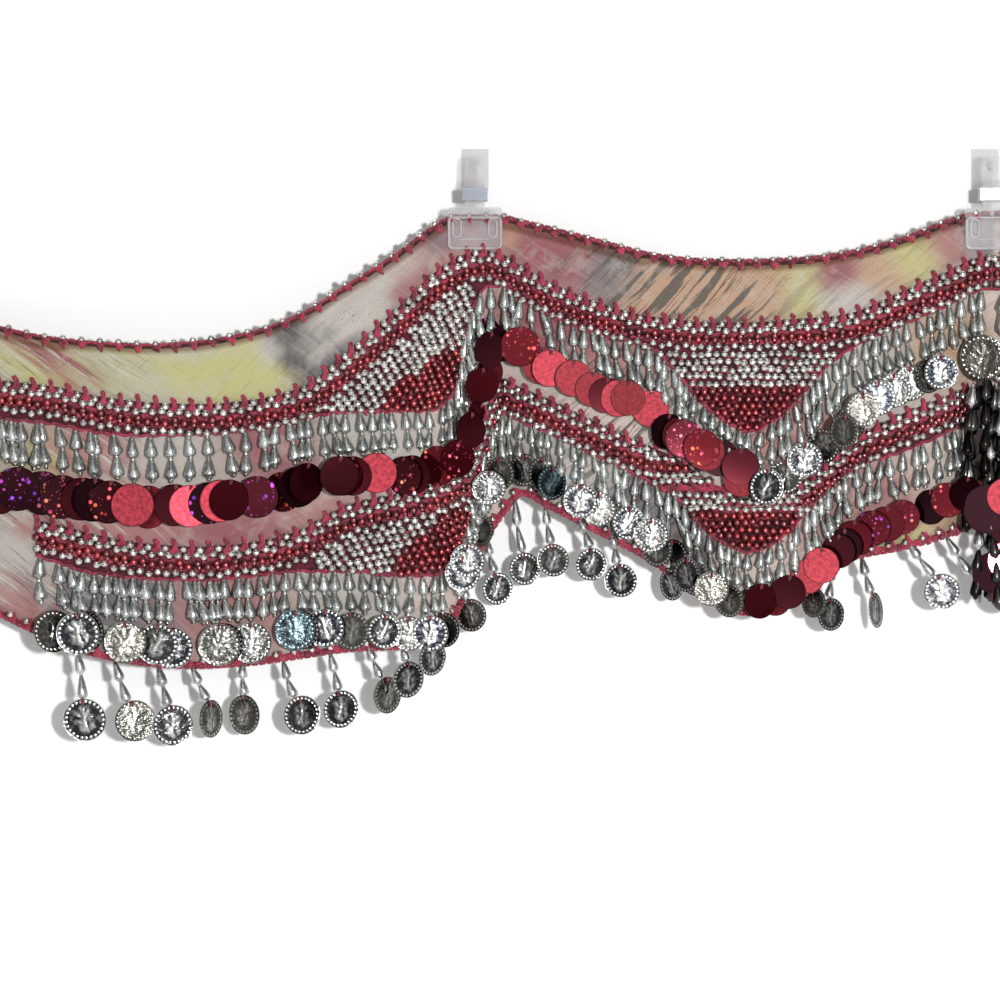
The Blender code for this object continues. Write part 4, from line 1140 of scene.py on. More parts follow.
    o = ends.build(f"{where}_drop_ends", SILVER)
    o = drops.build(f"{where}_drops", DROP)
    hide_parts(f"{where}_drop_row")
    o = ties.build(f"{where}_drop_threads", CRIMSON)

# ------------------------------------------------------------ the discs
# Each disc: column and row of its centre, its half width and radius, whether it lies in front of the one
# before it (1) or behind (-1), what it is, tone, hue of its dots. What: 0 satin, 0.5 wine, 1 dotted; 2 coin, 3 blue coin.
DISC_COLUMNS = ("column", "row", "half_width", "radius", "before", "what", "tone", "hue")
UPPER_PAILLETTES = (
    (22, 489, 22, 22, 1, 1, 0.05, 1), (46, 493, 21.5, 22, -1, 1, 0.05, 0.7), (66, 497, 21.5, 22, 1, 1, 0.1, 0.1),
    (86, 499, 20.5, 21.5, 1, 0.5, 0.35, 0), (98, 500, 20, 21.5, 1, 0.5, 0.0, 0), (113, 502, 20.5, 21.5, 1, 1, 0.2, 0),
    (136, 505, 21.5, 21.5, 1, 0, 0.3, 0), (151, 507, 20.5, 21.5, -1, 0, 0.45, 0), (178, 505, 20.5, 21, 1, 0.5, 0.3, 0),
    (193, 506, 20.5, 21, 1, 0, 0.85, 0), (212, 503, 20.5, 21, 1, 1, 0.0, 1), (223, 501, 20, 21, 1, 0, 0.75, 1),
    (232, 500, 18.5, 20.5, 1, 0.5, 0.75, 0), (222, 500, 18.5, 20.5, -1, 0.5, 0.0, 0), (259, 497, 21, 21, 1, 1, 0.4, 1),
    (284, 492, 19, 20, -1, 1, 0.5, 0), (300, 487, 19, 20.5, 1, 0.5, 0.0, 0), (308, 483, 12.5, 20, 1, 0.5, 0.4, 0),
    (341, 476, 19, 19.8, 1, 0.5, 0.35, 0), (344, 476, 18.5, 19.8, -1, 1, 1.0, 0.15), (354, 476, 19, 19.8, -1, 0.5, 0.55, 0),
    (378, 473, 19.5, 20, -1, 0, 0.45, 0), (405, 476, 17, 19.5, -1, 1, 0.3, 0.1), (414, 475, 17.5, 19.5, -1, 0.5, 0.45, 0),
    (438, 466, 19, 20, -1, 1, 1.0, 0), (458, 459, 17, 19, 1, 1, 0.9, 0.2), (471, 431, 12.5, 18, 1, 0.5, 0.5, 0),
    (471, 411, 10, 17, -1, 1, 0.6, 0.3),
    (486, 372, 17, 18, -1, 0, 0.85, 0), (482, 386, 16.5, 17.5, 1, 0.5, 0.8, 0), (490, 351, 15, 18, 1, 0.5, 0.25, 0),
    (487, 336, 13, 18, -1, 1, 0.05, 0.8), (505, 343, 14, 18.5, 1, 1, 0.2, 0.8), (520, 347, 19.5, 20, 1, 1, 1.0, 0),
    (541, 366, 18, 18.5, -1, 0, 0.0, 0), (550, 369, 18, 18.5, 1, 0, 0.85, 0), (573, 379, 18, 18.5, 1, 0, 0.35, 0),
    (592, 390, 17, 17.5, 1, 0, 0.0, 0), (606, 396, 18, 18, 1, 0.5, 0.4, 0), (618, 399, 18, 18.5, 1, 0, 0.95, 0),
    (627, 399, 18.5, 17.5, 1, 0, 0.05, 0), (650, 409, 18.5, 18.5, -1, 0, 0.9, 0), (667, 432, 17, 18, 1, 0.5, 0.0, 0),
    (677, 436, 16, 18, 1, 0, 1.0, 0), (683, 439, 18.5, 19, 1, 1, 0.4, 0.25), (700, 448, 19, 18.5, 1, 1, 0.9, 0),
    (705, 453, 18, 18.5, -1, 0, 0.05, 0), (719, 458, 18, 18.5, -1, 0.5, 0.0, 0), (738, 467, 18, 18.5, 1, 0.5, 0.35, 0),
    (739, 479, 18, 18, -1, 0, 0.1, 0),
)
LOWER_PAILLETTES = (
    (757, 600, 16.5, 17.5, 1, 0.5, 0.6, 0.5), (773, 598, 16, 17, -1, 0, 0.9, 0), (786, 591, 16.5, 17, 1, 0.5, 0.3, 1),
    (806, 576, 16.5, 17, -1, 0, 0.8, 0), (819, 565, 17.7, 18, 1, 0, 0.85, 0), (837, 551, 16, 17, -1, 0.5, 0.3, 0),
    (843, 546, 16.5, 17.5, -1, 0.5, 0.0, 0), (853, 538, 17, 18, -1, 0.5, 0.95, 0), (871, 528, 17, 17.8, -1, 1, 0.7, 0.8),
    (885, 524, 17, 17.8, -1, 0.5, 0.7, 0), (900, 517, 17, 17.5, -1, 1, 0.7, 0.2), (928, 507, 15, 17.5, -1, 0.5, 0.0, 0),
    (944, 500, 17, 17.5, 1, 1, 0.9, 0.1), (962, 494, 16, 17.5, 1, 0.5, 0.15, 0),
)
UPPER_COINS = (
    (764, 487, 17.0, 18, 1, 2, 0.9, 0), (783, 477, 16, 17, -1, 2, 0.3, 0), (802, 460, 17.5, 17.5, 1, 2, 0.8, 0),
    (821, 446, 16, 17.5, -1, 2, 0.3, 0), (840, 432, 15, 17.5, 1, 2, 0.15, 0), (848, 424, 15, 17.5, -1, 2, 0.1, 0),
    (860, 410, 17.5, 17.5, 1, 2, 0.2, 0), (876, 399, 17, 17.5, -1, 2, 1.0, 0), (892, 391, 17, 17.5, -1, 2, 0.6, 0),
    (908, 384, 17, 17.5, -1, 2, 0.4, 0), (926, 377, 14, 17, 1, 2, 0.2, 0), (938, 373, 17, 17.3, 1, 2, 1.0, 0),
)
LOWER_COINS = (
    (58, 630, 18, 21, 1, 2, 0.2, 0), (83, 632, 21, 21.5, 1, 2, 0.9, 0), (91, 630, 18, 20, -1, 2, 0.1, 0),
    (129, 641, 21, 21, 1, 2, 0.2, 0), (160, 643, 20.5, 21, -1, 2, 0.7, 0), (175, 647, 20, 20.5, -1, 2, 1.0, 0),
    (221, 644, 21, 21, 1, 2, 0.35, 0), (226, 643, 19, 20.5, -1, 2, 0.6, 0), (252, 642, 20.5, 21, -1, 2, 0.5, 0),
    (297, 629, 20.5, 20, 1, 3, 0.6, 0), (303, 629, 18, 19.5, -1, 2, 0.5, 0), (326, 627, 19.5, 19.5, -1, 2, 1.0, 0),
    (353, 630, 18, 19, -1, 2, 0.2, 0), (386, 630, 16.5, 17.5, 1, 2, 0.8, 0), (410, 632, 17, 17.5, -1, 2, 0.5, 0),
    (431, 632, 18, 18, 1, 2, 1.0, 0), (444, 629, 16, 17.5, -1, 2, 0.1, 0), (463, 573, 17, 17.5, 1, 2, 0.9, 0),
    (468, 560, 17, 17, 1, 2, 0.9, 0), (480, 530, 12, 16.5, -1, 2, 0.4, 0), (489, 488, 17, 17, 1, 2, 0.7, 0), (499, 474, 15, 17, -1, 2, 0.2, 0),
    (524, 470, 15, 16.5, -1, 2, 0.3, 0), (542, 474, 12, 17, 1, 2, 0.6, 0), (552, 483, 14.5, 17, 1, 3, 0.6, 0),
    (580, 501, 17, 17, 1, 2, 0.9, 0), (598, 509, 17, 17, -1, 2, 0.4, 0), (628, 523, 16.5, 17, 1, 2, 0.9, 0),
    (650, 535, 17, 17.5, 1, 2, 0.6, 0), (656, 549, 15, 17.5, -1, 2, 0.3, 0), (672, 556, 14, 17, -1, 2, 0.4, 0),
    (684, 574, 12, 17, 1, 2, 0.6, 0), (694, 578, 13, 17, -1, 2, 0.3, 0), (709, 588, 16.5, 17, 1, 2, 0.15, 0), (727, 600, 14, 16.5, -1, 2, 0.1, 0),
)


FRONT = CAD_BOX[0][1] - 9.0 * MM   # how far forward a disc may come
VIEW_X = (500 - MID) * U


def settle(x, y, r, yaw, before, gap):
    """Move overlapping discs to and fro until each lies clear in front of or behind its neighbours."""
    n = len(x)
    t = np.tan(np.radians(yaw))
    limit = y + 2.6 * MM
    for _ in range(90):
        y = np.minimum(y, limit)
        for a in range(n - 1):
            for b in (a + 1, a + 2):
                if b >= n or abs(x[a] - x[b]) > (r[a] + r[b]) * 0.97:
                    continue
                sign = before[b] if b == a + 1 else (before[a + 1] if before[a + 1] == before[b] else 0)
                if sign == 0:
                    sign = 1 if y[b] < y[a] else -1
                lo, hi = max(x[a] - r[a], x[b] - r[b]), min(x[a] + r[a], x[b] + r[b])
                q = np.array([lo, (lo + hi) / 2, hi])
                margin = (sign * ((y[a] + t[a] * (q - x[a])) - (y[b] + t[b] * (q - x[b])))).min() - gap
                if margin < 0:
                    y[a] -= sign * margin * 0.5
                    y[b] += sign * margin * 0.5
    return y


def place_discs(table, gap, seed, side, out=7.2):
    """Positions, rotations and sizes of a listed row."""
    r = np.random.default_rng(seed + side)
    d = np.array(table, float)
    column, row = d[:, 0].copy(), d[:, 1].copy()
    half, radius, before, what, tone, hue = d[:, 2], d[:, 3], d[:, 4], d[:, 5].copy(), d[:, 6].copy(), d[:, 7].copy()
    tone = np.where(what == 0, np.where(column < 480, 0.30 + 0.62 * tone, 0.04 + 0.26 * tone), tone)
    if side:   # the hidden half is alike but not the same
        column += r.normal(0, 1.6, len(d))
        row += r.normal(0, 1.2, len(d))
    p = surface(column, row, creased=False)
    x = (column - MID) * U
    nxt = np.append(before[1:], before[-1])
    lean = np.where(before > 0, 1, -1) + np.where(nxt > 0, 1, -1)
    turn = np.minimum(np.degrees(np.arccos(np.clip(half / np.maximum(radius, half), 0.3, 1))), 36)
    yaw = np.where(turn > 14, turn * np.where(before > 0, 1, -1), 2.4 * lean + r.normal(0, 1.0, len(d)))
    # only the brightest coins face straight back into the lamp
    glare = np.degrees(np.arctan((0.12 - x) / 2.1) + np.arctan((VIEW_X - x) / 1.7)) / 2
    near = (what > 1.5) & (tone < 0.97) & (np.abs(yaw - glare) < 8.5)
    yaw = np.where(near, glare + np.where(yaw >= glare, 8.5, -8.5), yaw)
    y = settle(x, p[:, 1] - out * MM, np.minimum(radius, half) * U, yaw, before, gap)
    y = np.maximum(y, FRONT + radius * U * np.abs(np.sin(np.radians(yaw))))
    if side:
        order = np.clip(np.arange(len(d)) + 3, 0, len(d) - 1)
        what, tone, hue = what[order], tone[order], hue[order]
    place = np.stack([x, y, (PEG - row) * U], -1)
    pitch = np.where(what > 1.5, np.where(tone > 0.65, 3.4 + 2.0 * tone, 1.5), np.where(what == 0, 1.5, 4.6)) + r.normal(0, 1.0, len(d))
    rot = euler(yaw, pitch, 0)
    if side:
        place, rot = mirrored(place, rot)
    return place, rot, radius, what, tone, hue


def loose_discs(s0, s1, a, b, spacing, seed, side, gap, looks):
    """A row placed evenly, for the stretch towards the tail that repeats the shown one."""
    r = np.random.default_rng(seed)
    line = lambda s: (CHART[a](s) + CHART[b](s)) / 2
    s = walk(line, s0, s1, spacing, 2.0)
    n = len(s)
    rows = []
    for k in range(n):
        group = int(s[k] // 60) % 2
        look = looks[r.integers(len(looks))]
        rows.append((s[k] + r.normal(0, 1.5), float(line(s[k])) + r.normal(0, 1.5), 20.8, 21.5, 1 if group else -1, *look))
    return rows


FILM_LOOKS = ((1, 0.1, 1), (0.5, 0.3, 0), (0.5, 0.0, 0), (0, 0.5, 0), (1, 0.6, 0), (0, 0.9, 0), (0.5, 0.6, 0))


def film_row(names, table, seed, tail=()):
    for side, name in enumerate(names):
        place, rot, radius, what, tone, hue = place_discs(tuple(tail) + tuple(table), 0.55 * MM, seed, side)
        r = np.random.default_rng(seed + 5 + side)
        n = len(radius)
        pile, loops = Pile(), Pile()
        size = (radius / 21.0)[:, None]
        pile.add(paillette, place, rot @ euler(0, 0, r.uniform(-12, 12, n)), size, kind=what, tone=np.clip(tone + r.normal(0, 0.03, n), 0, 1),
                 hue=hue, seed=r.uniform(0, 9, n))
        up = np.stack([np.zeros(n), np.full(n, -0.5 * MM), (radius - 2.6) * U], -1)
        top = place + np.einsum("nij,nj->ni", rot, up)
        loops.add(stitch, top, rot, np.broadcast_to(np.array([1.1, 0.9, 3.2]) * U, (n, 3)))
        loops.add(stitch, top + np.array([1.6 * U, 0.2 * MM, 0.6 * U]), rot, np.broadcast_to(np.array([0.9, 0.8, 2.4]) * U, (n, 3)))
        o = pile.build(name + "_shown", FILM)
        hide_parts(name)
        o = loops.build(name + "_loops", KNOT)


def coins_at(pile, loops, p, rot, r, tone, radius, blue=None):
    n = len(p)
    pile.add(coin, p, rot @ euler(0, 0, r.uniform(-25, 25, n)), (radius / 21.0)[:, None], tone=tone,
             blue=np.zeros(n) if blue is None else blue, seed=r.uniform(0, 9, n))
    up = np.stack([np.zeros(n), np.full(n, -0.6 * MM), (radius - 3.0) * U], -1)
    top = p + np.einsum("nij,nj->ni", rot, up)
    loops.add(stitch, top, rot, np.broadcast_to(np.array([1.5, 1.1, 3.6]) * U, (n, 3)))


def coin_row(names, table, seed):
    for side, name in enumerate(names):
        place, rot, radius, what, tone, hue = place_discs(table, 0.85 * MM, seed, side)
        r = np.random.default_rng(seed + 9 + side)
        pile, loops = Pile(), Pile()
        coins_at(pile, loops, place, rot, r, tone, radius, (what > 2.5).astype(float))
        o = pile.build(name + "_shown", COIN)
        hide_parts(name)
        o = loops.build(name + "_loops", KNOT)


film_row(("upper_paillettes_left", "upper_paillettes_right"), UPPER_PAILLETTES, 21,
         loose_discs(TAIL + 8, 2, "ud", "us", 15.5, 23, 0, 0.55 * MM, FILM_LOOKS))
film_row(("lower_paillettes_left", "lower_paillettes_right"), LOWER_PAILLETTES, 31)
coin_row(("upper_coins_left", "upper_coins_right"), UPPER_COINS, 41)
coin_row(("lower_coins_left", "lower_coins_right"), LOWER_COINS, 51)

# ------------------------------------------------------------ edgings
def edge_line(edge, s, beyond):
    """The cloth's edge, moved square to itself past the cloth by beyond, in metres."""
    name = "td" if edge == 0 else "hd"
    s = np.asarray(s, float)
    p = surface(s, CHART[name](s), creased=False)
    a, b = s - 2, np.minimum(s + 2, MID)
    t = surface(b, CHART[name](b), False) - surface(a, CHART[name](a), False)
    t /= np.linalg.norm(t, axis=-1)[..., None]
    up = np.stack([-t[..., 2], np.zeros(t.shape[:-1]), t[..., 0]], -1)
    up /= np.linalg.norm(up, axis=-1)[..., None]
    return p + up * (np.asarray(beyond, float)[..., None] * U) * (1 if edge == 0 else -1)


def edge_walk(edge, s0, s1, spacing, phase=0.0):
    name = "td" if edge == 0 else "hd"
    return walk(lambda s: CHART[name](s), s0, s1, spacing, phase)


for edge, name in ((0, "top"), (1, "hem")):
    lace, rolled, dots = Pile(), Pile(), Pile()
    sign = 1 if edge == 0 else -1
    for side in (0, 1):
        s = edge_walk(edge, -556, MID + 0.3, 2.6)
        n = len(s)
        zero = np.zeros(n)
        heavy = np.interp(s, [-560, 380, 470, 992], [0.75, 0.8, 1.3, 1.25]) if edge == 0 else np.full(n, 1.35)
        roll = edge_line(edge, s, zero - 0.6)
        roll[:, 1] -= 0.6 * MM
        v, q = cord(mirrored(roll) if side else roll, 2.3 * U, sides=6, ply=0.12, twist=40)
        rolled.add_raw(v, q)
        # a crochet chain: three strands that pass over each other
        turns = np.cumsum(np.concatenate([[0], np.linalg.norm(np.diff(roll, axis=0), axis=1)])) / U / 7.6 * 2 * math.pi
        for strand, (off, amp) in enumerate(((2.2, 1.1), (2.2, 1.1), (1.0, 0.7))):
            ph = turns + strand * 2 * math.pi / 3
            chain = edge_line(edge, s, (off + amp * np.sin(ph)) * heavy)
            chain[:, 1] -= (1.1 + 0.5 * np.cos(ph)) * MM
            v, q = cord(mirrored(chain) if side else chain, 1.05 * U, sides=4, ply=0.0)
            lace.add_raw(v, q)
        # wedge shaped teeth that wrap the rolled edge
        st = edge_walk(edge, -550, MID - 3, 18.6, 5.5)
        n = len(st)
        tilt = np.degrees(np.arctan(slope("td" if edge == 0 else "hd", st)))
        for base in (tooth, tooth2, knob):
            rot = euler(0, rng.normal(0, 4, n), tilt + rng.normal(0, 10, n) + (0 if edge == 0 else 180))
            p = edge_line(edge, st, np.full(n, -2.0) + rng.normal(0, 0.7, n))
            p[:, 1] -= 2.2 * MM
            less = np.interp(st, [-560, 380, 480, 992], [1.0, 0.95, 0.72, 0.72]) if edge == 0 else np.full(n, 1.15)
            less = less * np.where(rng.uniform(0, 1, n) < (0.5 if base is tooth2 else 0.0), 0.35, 1.0)
            size = np.stack([rng.uniform(0.8, 1.15, n), np.full(n, 0.9), rng.uniform(0.7, 1.25, n) * less], -1)
            p, rot = mirrored(p, rot) if side else (p, rot)
            lace.add(base, p, rot, size)
        sb = edge_walk(edge, -545, MID - 6, 18.6, 14.6)
        n = len(sb)
        p = edge_line(edge, sb, (np.full(n, 3.6) if edge == 0 else np.full(n, -4.0)) + rng.normal(0, 0.5, n))
        p[:, 1] -= (1.4 if edge == 0 else 2.6) * MM
        p = mirrored(p) if side else p
        dots.add(ball, p, scales=BEAD_R * 0.84 * sized(BEAD_SIZE, sb)[:, None], tone=rng.uniform(0, 1, n))
    o = lace.build(f"{name}_edging_threads", CRIMSON)
    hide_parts(f"{name}_edging")
    o = rolled.build(f"{name}_rolled_edge", ROLLED if edge == 0 else HEM_ROLL)
    o = dots.build(f"{name}_edging_beads", SILVER)

# ------------------------------------------------------------ hem fringe
# Each dangle: column of its knot at the hem, column and row of its coin's centre, half width and radius, tone.
DANGLE_COLUMNS = ("knot", "coin_column", "coin_row", "half_width", "radius", "tone")
DANGLES = (
    (80, 88, 718, 21.5, 21.5, 0.9), (117, 138, 719, 19.5, 20.5, 0.2), (160, 175, 724, 19.5, 20.5, 0.8),
    (193, 212, 718, 10, 19, 0.4), (243, 245, 714, 16, 20, 0.35), (284, 303, 714, 17.5, 19.5, 0.6),
    (331, 342, 708, 17, 19, 0.9), (368, 388, 694, 13, 18.5, 0.2), (400, 409, 678, 15, 18.5, 0.8),
    (424, 433, 657, 13, 17.5, 0.8), (461, 471, 615, 15.5, 16.5, 0.3), (487, 498, 589, 15.5, 16.5, 0.9),
    (515, 525, 569, 15.5, 16.5, 0.6), (545, 553, 560, 15.8, 16.5, 0.5), (579, 591, 564, 15.5, 16.5, 0.8),
    (611, 620, 580, 16, 17, 1.0), (664, 671, 584, 11, 16.5, 0.8), (829, 830, 614, 14, 16.5, 0.6),
    (861, 875, 610, 5, 18, 0.6), (905, 940, 591, 18, 18, 0.9), (945, 978, 586, 4, 17, 0.1),
    (790, 812, 602, 11, 15, 0.1),
)


def hang(pile, loops, coins, coin_loops, knot, at, half, radius, r, tone, pieces=2):
    """A strand of drops from knot to a coin whose centre is at, both in metres."""
    knot, at = np.asarray(knot, float), np.asarray(at, float)
    direction = at - knot
    length = np.linalg.norm(direction) - radius * 0.88 * U
    direction = direction / np.linalg.norm(direction)
    lean = -math.degrees(math.atan2(direction[0], -direction[2]))
    each = length / pieces / (22.0 * U)
    top = knot.copy()
    wide = 0.92 * (radius / 21.0) ** 0.5
    for k in range(pieces):
        rot = euler(0, r.normal(0, 2), lean + r.normal(0, 3.0))
        size = np.array([[wide * r.uniform(0.92, 1.05), wide, each]])
        pile.add(drop, [top], rot, size, tone=[r.uniform(0.2, 1)])
        loops.add(stitch, [top + np.array([0, 0, 1.0 * U])], rot, np.array([[1.1, 1.1, 2.2]]) * U)
        top = top + (rot @ np.array([0, 0, -each * 21.8 * U]))[0]
    turn = math.degrees(math.acos(min(1.0, half / radius))) * (1 if r.uniform() < 0.6 else -1)
    pitch = (6.5 if tone > 0.65 else 1.0) + r.normal(0, 1.0)
    rot = euler(turn if abs(turn) > 8 else r.normal(0, 2), pitch, lean * 0.5 + r.normal(0, 4))
    coins_at(coins, coin_loops, np.array([at]), rot, r, [tone], np.array([radius]))


pile, loops, coins, knots = Pile(), Pile(), Pile(), Pile()
for side in (0, 1):
    r = np.random.default_rng(61 + side)
    for knot, cc, cr, half, radius, tone in DANGLES:
        s = np.array([float(knot)])
        hem = float(CHART["hd"](s)[0]) + 4.0
        hem = min(hem, cr - radius - 32.0)
        top = surface(s, np.array([hem]), False)[0]
        top[1] -= 1.5 * MM
        end = np.array([(cc - MID) * U, top[1] - 1.0 * MM, (PEG - cr) * U])
        if side:
            top, end = mirrored(top), mirrored(end) + np.array([r.normal(0, 1.5), 0, r.normal(0, 1.5)]) * U
        hang(pile, loops, coins, knots, top, end, half, radius, r, tone)
o = pile.build("hem_fringe_drops", DROP)
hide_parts("hem_fringe")
o = coins.build("hem_fringe_coins", COIN)
o = loops.build("hem_fringe_threads", CRIMSON)
o = knots.build("hem_fringe_knots", KNOT)

# ------------------------------------------------------------ centre tassel
r = np.random.default_rng(71)
lo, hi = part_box("centre_medallion")
c = (Vector(lo) + Vector(hi)) / 2
big, loops = Pile(), Pile()
big.add(coin, [((981 - MID) * U, hi.y - 0.3 * MM, (PEG - 358) * U)], euler(11, -4, 12), np.full((1, 3), 1.12), tone=[0.0], blue=[0.0], seed=[3.0])
big.add(coin, [((978 - MID) * U, hi.y + 1.0 * MM, (PEG - 474) * U)], euler(-48, 0, 5), np.full((1, 3), 0.62), tone=[0.1], blue=[0.0], seed=[5.0])
big.add(coin, [((1006 - MID) * U, hi.y + 0.9 * MM, (PEG - 366) * U)], euler(-14, 0, 5), np.full((1, 3), 0.85), tone=[0.4], blue=[0.0], seed=[5.0])
o = big.build("centre_medallion_shown", COIN)
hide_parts("centre_medallion")
lo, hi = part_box("centre_tassel")
mid_y = (lo.y + hi.y) / 2
strand, film = Pile(), Pile()
for k in range(13):
    x = (-27 + 4.4 * k + r.normal(0, 1.2)) * U
    y = mid_y + (2.6 * MM if k % 2 else -1.2 * MM)
    top = np.array([x * 0.8, y, (PEG - 378 - r.uniform(0, 12)) * U])
    for j in range(9 if 3 < k < 10 else 4 + k % 3):
        rot = euler(0, r.normal(0, 4), r.normal((6 - k) * 0.9, 5))
        # painted shade: most of the tassel's drops take near-black tones for the fold's shade, and a few listed ones
        # are painted lit
        bright = 0.95 if (j * 5 + k * 3) % 7 == 0 or (k > 7 and j in (0, 1)) else r.uniform(0, 0.12)
        strand.add(drop, [top], rot, np.array([[1.0, 1.0, 1.12]]), tone=[bright])
        loops.add(stitch, [top], rot, np.array([[1.2, 1.2, 2.2]]) * U)
        top = top + (rot @ np.array([0, 0, -24.6 * U]))[0]
for column, row, kind, tone, hue, turn, size, out in (
    (1001, 497, 0, 0.3, 0, -4, 0.9, 0.2), (983, 509, 0.5, 0.0, 0, 3, 1.16, 1.5), (1006, 524, 0.5, 0.1, 0, 3, 1.05, 2.9),
    (972, 500, 0.5, 0.25, 0, 5, 0.95, 3.9), (1018, 508, 0.5, 0.5, 0, -5, 1.0, 4.3), (1003, 560, 1, 0.7, 0, -3, 0.9, 2.6),
    (988, 572, 0.5, 0.0, 0, 5, 0.95, 3.8), (1004, 594, 0.5, 0.1, 0, -5, 0.85, 3.4),
):
    film.add(paillette, [((column - MID) * U, lo.y + out * MM, (PEG - row) * U)], euler(turn, r.normal(0, 3), 0),
             np.full((1, 3), size), kind=[kind], tone=[tone], hue=[hue], seed=[r.uniform(0, 9)])
o = strand.build("centre_tassel_drops", PAINTED_SHADE_DROP)
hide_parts("centre_tassel")
o = film.build("centre_tassel_paillettes", FILM)
o = loops.build("centre_tassel_threads", KNOT)

# ------------------------------------------------------------ clips and hooks
for n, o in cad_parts.items():
    if n.startswith("clip_") or n.startswith("hook_"):
        m = STEEL if n.endswith("spring") else CLEAR
        o.data.materials.clear()
        o.data.materials.append(m)


def frame_ring(x, z0, z1, half, radius, y, r):
    """A closed rounded bar round a rectangle, for the rims moulded on a clip's jaw."""
    pts = []
    for cx, cz, start in ((half - r, z1 - r, 0), (-half + r, z1 - r, 90), (-half + r, z0 + r, 180), (half - r, z0 + r, 270)):
        for k in range(5):
            a = math.radians(start + 22.5 * k)
            pts.append((x + cx + r * math.cos(a), y, cz + r * math.sin(a)))
    pts.append(pts[0])
    pts.append(pts[1])
    v, f = cord(np.array(pts), radius, sides=8, ply=0.0)
    return v, f


for n in sorted(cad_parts):
    if n.startswith("clip_") and n.endswith("front_jaw"):
        lo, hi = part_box(n)
        x = (lo.x + hi.x) / 2
        half = (hi.x - lo.x) / 2
        rims = Pile()
        v, f = frame_ring(x, lo.z + 0.7 * MM, lo.z + 15.4 * MM, half - 0.8 * MM, 0.6 * MM, lo.y - 0.1 * MM, 2.0 * MM)
        rims.add_raw(v, f)
        for side in (-1, 1):
            v, f = frame_ring(x + side * 8.6 * MM, lo.z + 6.0 * MM, lo.z + 14.6 * MM, 1.9 * MM, 0.5 * MM, lo.y - 0.1 * MM, 1.6 * MM)
            rims.add_raw(v, f)
        v, f = cord(np.array([(x - 6.8 * MM, lo.y, lo.z + 5.0 * MM), (x, lo.y, lo.z + 5.0 * MM), (x + 6.8 * MM, lo.y, lo.z + 5.0 * MM)]), 0.35 * MM, sides=8, ply=0.0)
        rims.add_raw(v, f)
        o = rims.build(n.replace("front_jaw", "rims"), RIM)

# ------------------------------------------------------------ the studio
def studio_wall():
    """A plain white wall behind the hooks, curving into a floor."""
    ys, zs = [], []
    back = 0.0262
    for k in range(6):
        ys.append(back); zs.append(1.6 - 0.45 * k)
    for k in range(1, 9):
        a = math.radians(90 * k / 8)
        ys.append(back - 0.25 * (1 - math.cos(a))); zs.append(-0.65 - 0.25 * math.sin(a))
    for y in (-0.8, -1.6, -3.0):
        ys.append(y); zs.append(-0.9)
    xs = np.array([-3.0, -1.0, 1.0, 3.0])
    v = np.array([[x, y, z] for y, z in zip(ys, zs) for x in xs])
    n = len(xs)
    f = np.array([[j * n + i, j * n + i + 1, (j + 1) * n + i + 1, (j + 1) * n + i] for j in range(len(ys) - 1) for i in range(n - 1)])
    m, nodes, links, bsdf = tree("white_wall")
    bsdf.inputs["Base Color"].default_value = (0.75, 0.75, 0.75, 1)
    bsdf.inputs["Roughness"].default_value = 0.9
    bsdf.inputs["Specular IOR Level"].default_value = 0.1
    path = nodes.new("ShaderNodeLightPath")
    bsdf.inputs["Emission Color"].default_value = (1, 1, 1, 1)
    links.new(maths(nodes, links, "MULTIPLY", path.outputs["Is Camera Ray"], 0.03), bsdf.inputs["Emission Strength"])
    clear = nodes.new("ShaderNodeBsdfTransparent")
    geo = nodes.new("ShaderNodeNewGeometry")
    both = nodes.new("ShaderNodeMixShader")
    links.new(geo.outputs["Backfacing"], both.inputs[0])
    links.new(bsdf.outputs[0], both.inputs[1])
    links.new(clear.outputs[0], both.inputs[2])
    links.new(both.outputs[0], nodes["Material Output"].inputs["Surface"])
    me = bpy.data.meshes.new("studio_wall")
    me.from_pydata(v.tolist(), [], f.tolist())
    me.materials.append(m)
    me.update()
    if me.polygons[0].normal.y > 0:
        me.flip_normals()
    o = bpy.data.objects.new("studio_wall", me)
    bpy.context.scene.collection.objects.link(o)


studio_wall()


def light(name, at, aim, size, power, size_y=None):
    data = bpy.data.lights.new(name, "AREA")
    data.shape = "RECTANGLE" if size_y else "DISK"
    data.size = size
    if size_y:
        data.size_y = size_y
    data.energy = power
    o = bpy.data.objects.new(name, data)
    o.location = at
    o.rotation_euler = (Vector(aim) - Vector(at)).to_track_quat("-Z", "Y").to_euler()
    bpy.context.scene.collection.objects.link(o)
    return o


AIM = (-0.2, 0.0, -0.12)
light("key", (0.12, -2.1, -0.12), AIM, 0.10, 43.0)

world = bpy.data.worlds.new("room")
bpy.context.scene.world = world
world.use_nodes = True
wn, wl = world.node_tree.nodes, world.node_tree.links
for n in list(wn):
    wn.remove(n)
out = wn.new("ShaderNodeOutputWorld")
seen, room = wn.new("ShaderNodeBackground"), wn.new("ShaderNodeBackground")
seen.inputs[0].default_value = (1, 1, 1, 1)
seen.inputs[1].default_value = 1.0
coords = wn.new("ShaderNodeTexCoord")


def lobe(direction, inner, outer, strength):
    """A soft round patch of light in that direction; angles in degrees."""
    d = wn.new("ShaderNodeVectorMath")
    d.operation = "DOT_PRODUCT"
    wl.new(coords.outputs["Generated"], d.inputs[0])
    d.inputs[1].default_value = Vector(direction).normalized()
    m = wn.new("ShaderNodeMapRange")
    m.interpolation_type = "SMOOTHSTEP"
    m.inputs["From Min"].default_value = math.cos(math.radians(outer))
    m.inputs["From Max"].default_value = math.cos(math.radians(inner))
    m.inputs["To Max"].default_value = strength
    wl.new(d.outputs["Value"], m.inputs["Value"])
    return m.outputs[0]


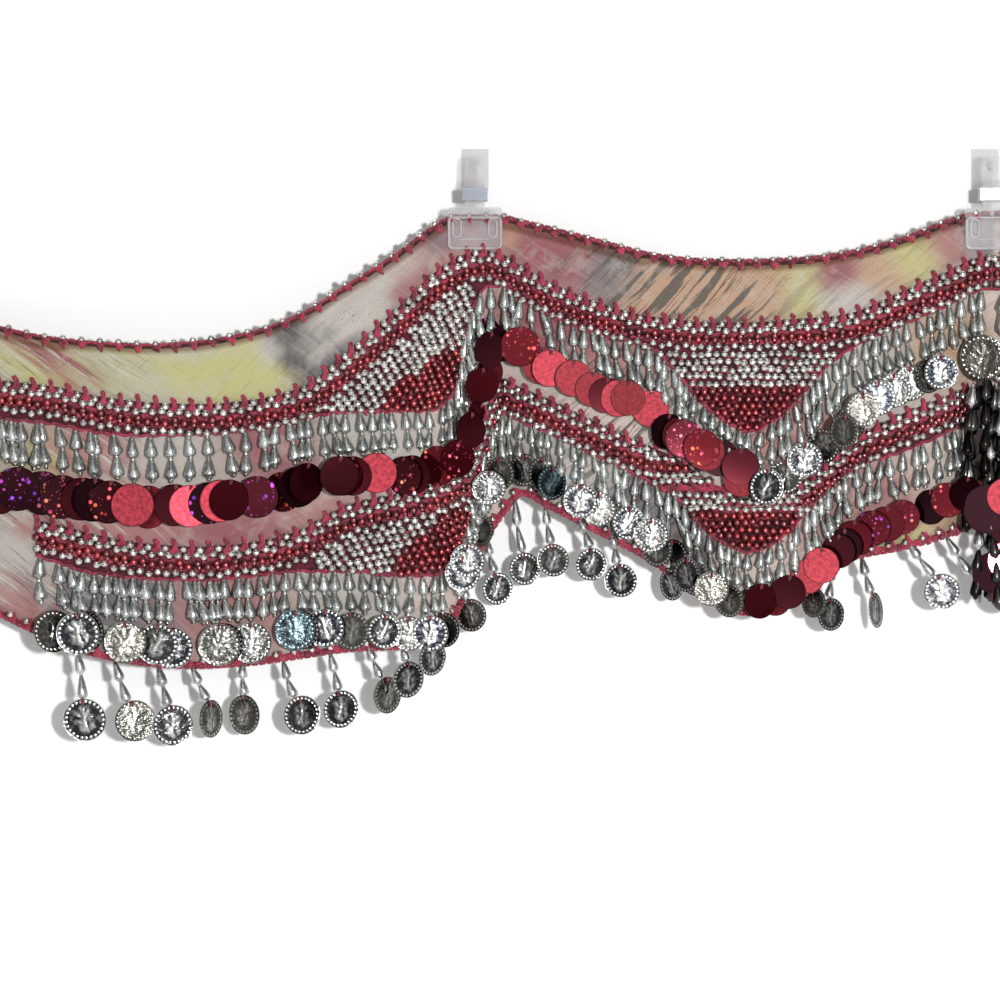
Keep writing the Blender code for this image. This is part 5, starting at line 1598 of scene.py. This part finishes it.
# a room with a bright ring of surfaces round the camera, dark right behind it and to the sides
clutter = wn.new("ShaderNodeTexNoise")
clutter.inputs["Scale"].default_value = 5.5
clutter.inputs["Detail"].default_value = 2.0
wl.new(coords.outputs["Generated"], clutter.inputs["Vector"])


def levels(source, low, high, to_low, to_high):
    m = wn.new("ShaderNodeMapRange")
    m.interpolation_type = "SMOOTHSTEP"
    for key, value in (("From Min", low), ("From Max", high), ("To Min", to_low), ("To Max", to_high)):
        m.inputs[key].default_value = value
    wl.new(source, m.inputs["Value"])
    return m.outputs[0]


def combine(operation, a, b):
    m = wn.new("ShaderNodeMath")
    m.operation = operation
    wl.new(a, m.inputs[0])
    wl.new(b, m.inputs[1])
    return m.outputs[0]


BEHIND = (-0.02, -1, 0.03)
ring = combine("SUBTRACT", lobe(BEHIND, 30, 44, 1.0), lobe(BEHIND, 8, 15, 1.0))
ring = combine("MULTIPLY", ring, levels(clutter.outputs["Fac"], 0.38, 0.56, 0.15, 1.2))
total = combine("ADD", ring, levels(clutter.outputs["Fac"], 0.40, 0.64, 0.04, 0.16))
for d, inner, outer, strength in (
    ((-1.5, -1, 0.2), 8, 16, 0.9), ((1.6, -0.8, 0.3), 8, 18, 0.8), ((0, -0.2, 1), 12, 34, 0.9),
    ((0.14, -1, 0.12), 1.5, 4, 1.2), ((-0.17, -1, 0.08), 1.5, 4, 1.2), ((-0.06, -1, -0.15), 1.5, 4, 1.0),
):
    total = combine("ADD", total, lobe(d, inner, outer, strength))
wl.new(total, room.inputs[1])
room.inputs[0].default_value = (1, 0.99, 0.975, 1)
path = wn.new("ShaderNodeLightPath")
pick = wn.new("ShaderNodeMixShader")
wl.new(path.outputs["Is Camera Ray"], pick.inputs[0])
wl.new(room.outputs[0], pick.inputs[1])
wl.new(seen.outputs[0], pick.inputs[2])
wl.new(pick.outputs[0], out.inputs[0])

bpy.context.scene.view_settings.view_transform = "Standard"
bpy.context.scene.view_settings.look = "None"

cam = bpy.data.cameras.new("camera")
cam.sensor_width = 36.0
AWAY = 1.7
cam.lens = 36.0 * AWAY / (1000 * U)
camera = bpy.data.objects.new("camera", cam)
camera.location = ((500 - MID) * U, -AWAY, (PEG - 500) * U)
camera.rotation_euler = (math.radians(90), 0, 0)
bpy.context.scene.collection.objects.link(camera)
bpy.context.scene.camera = camera
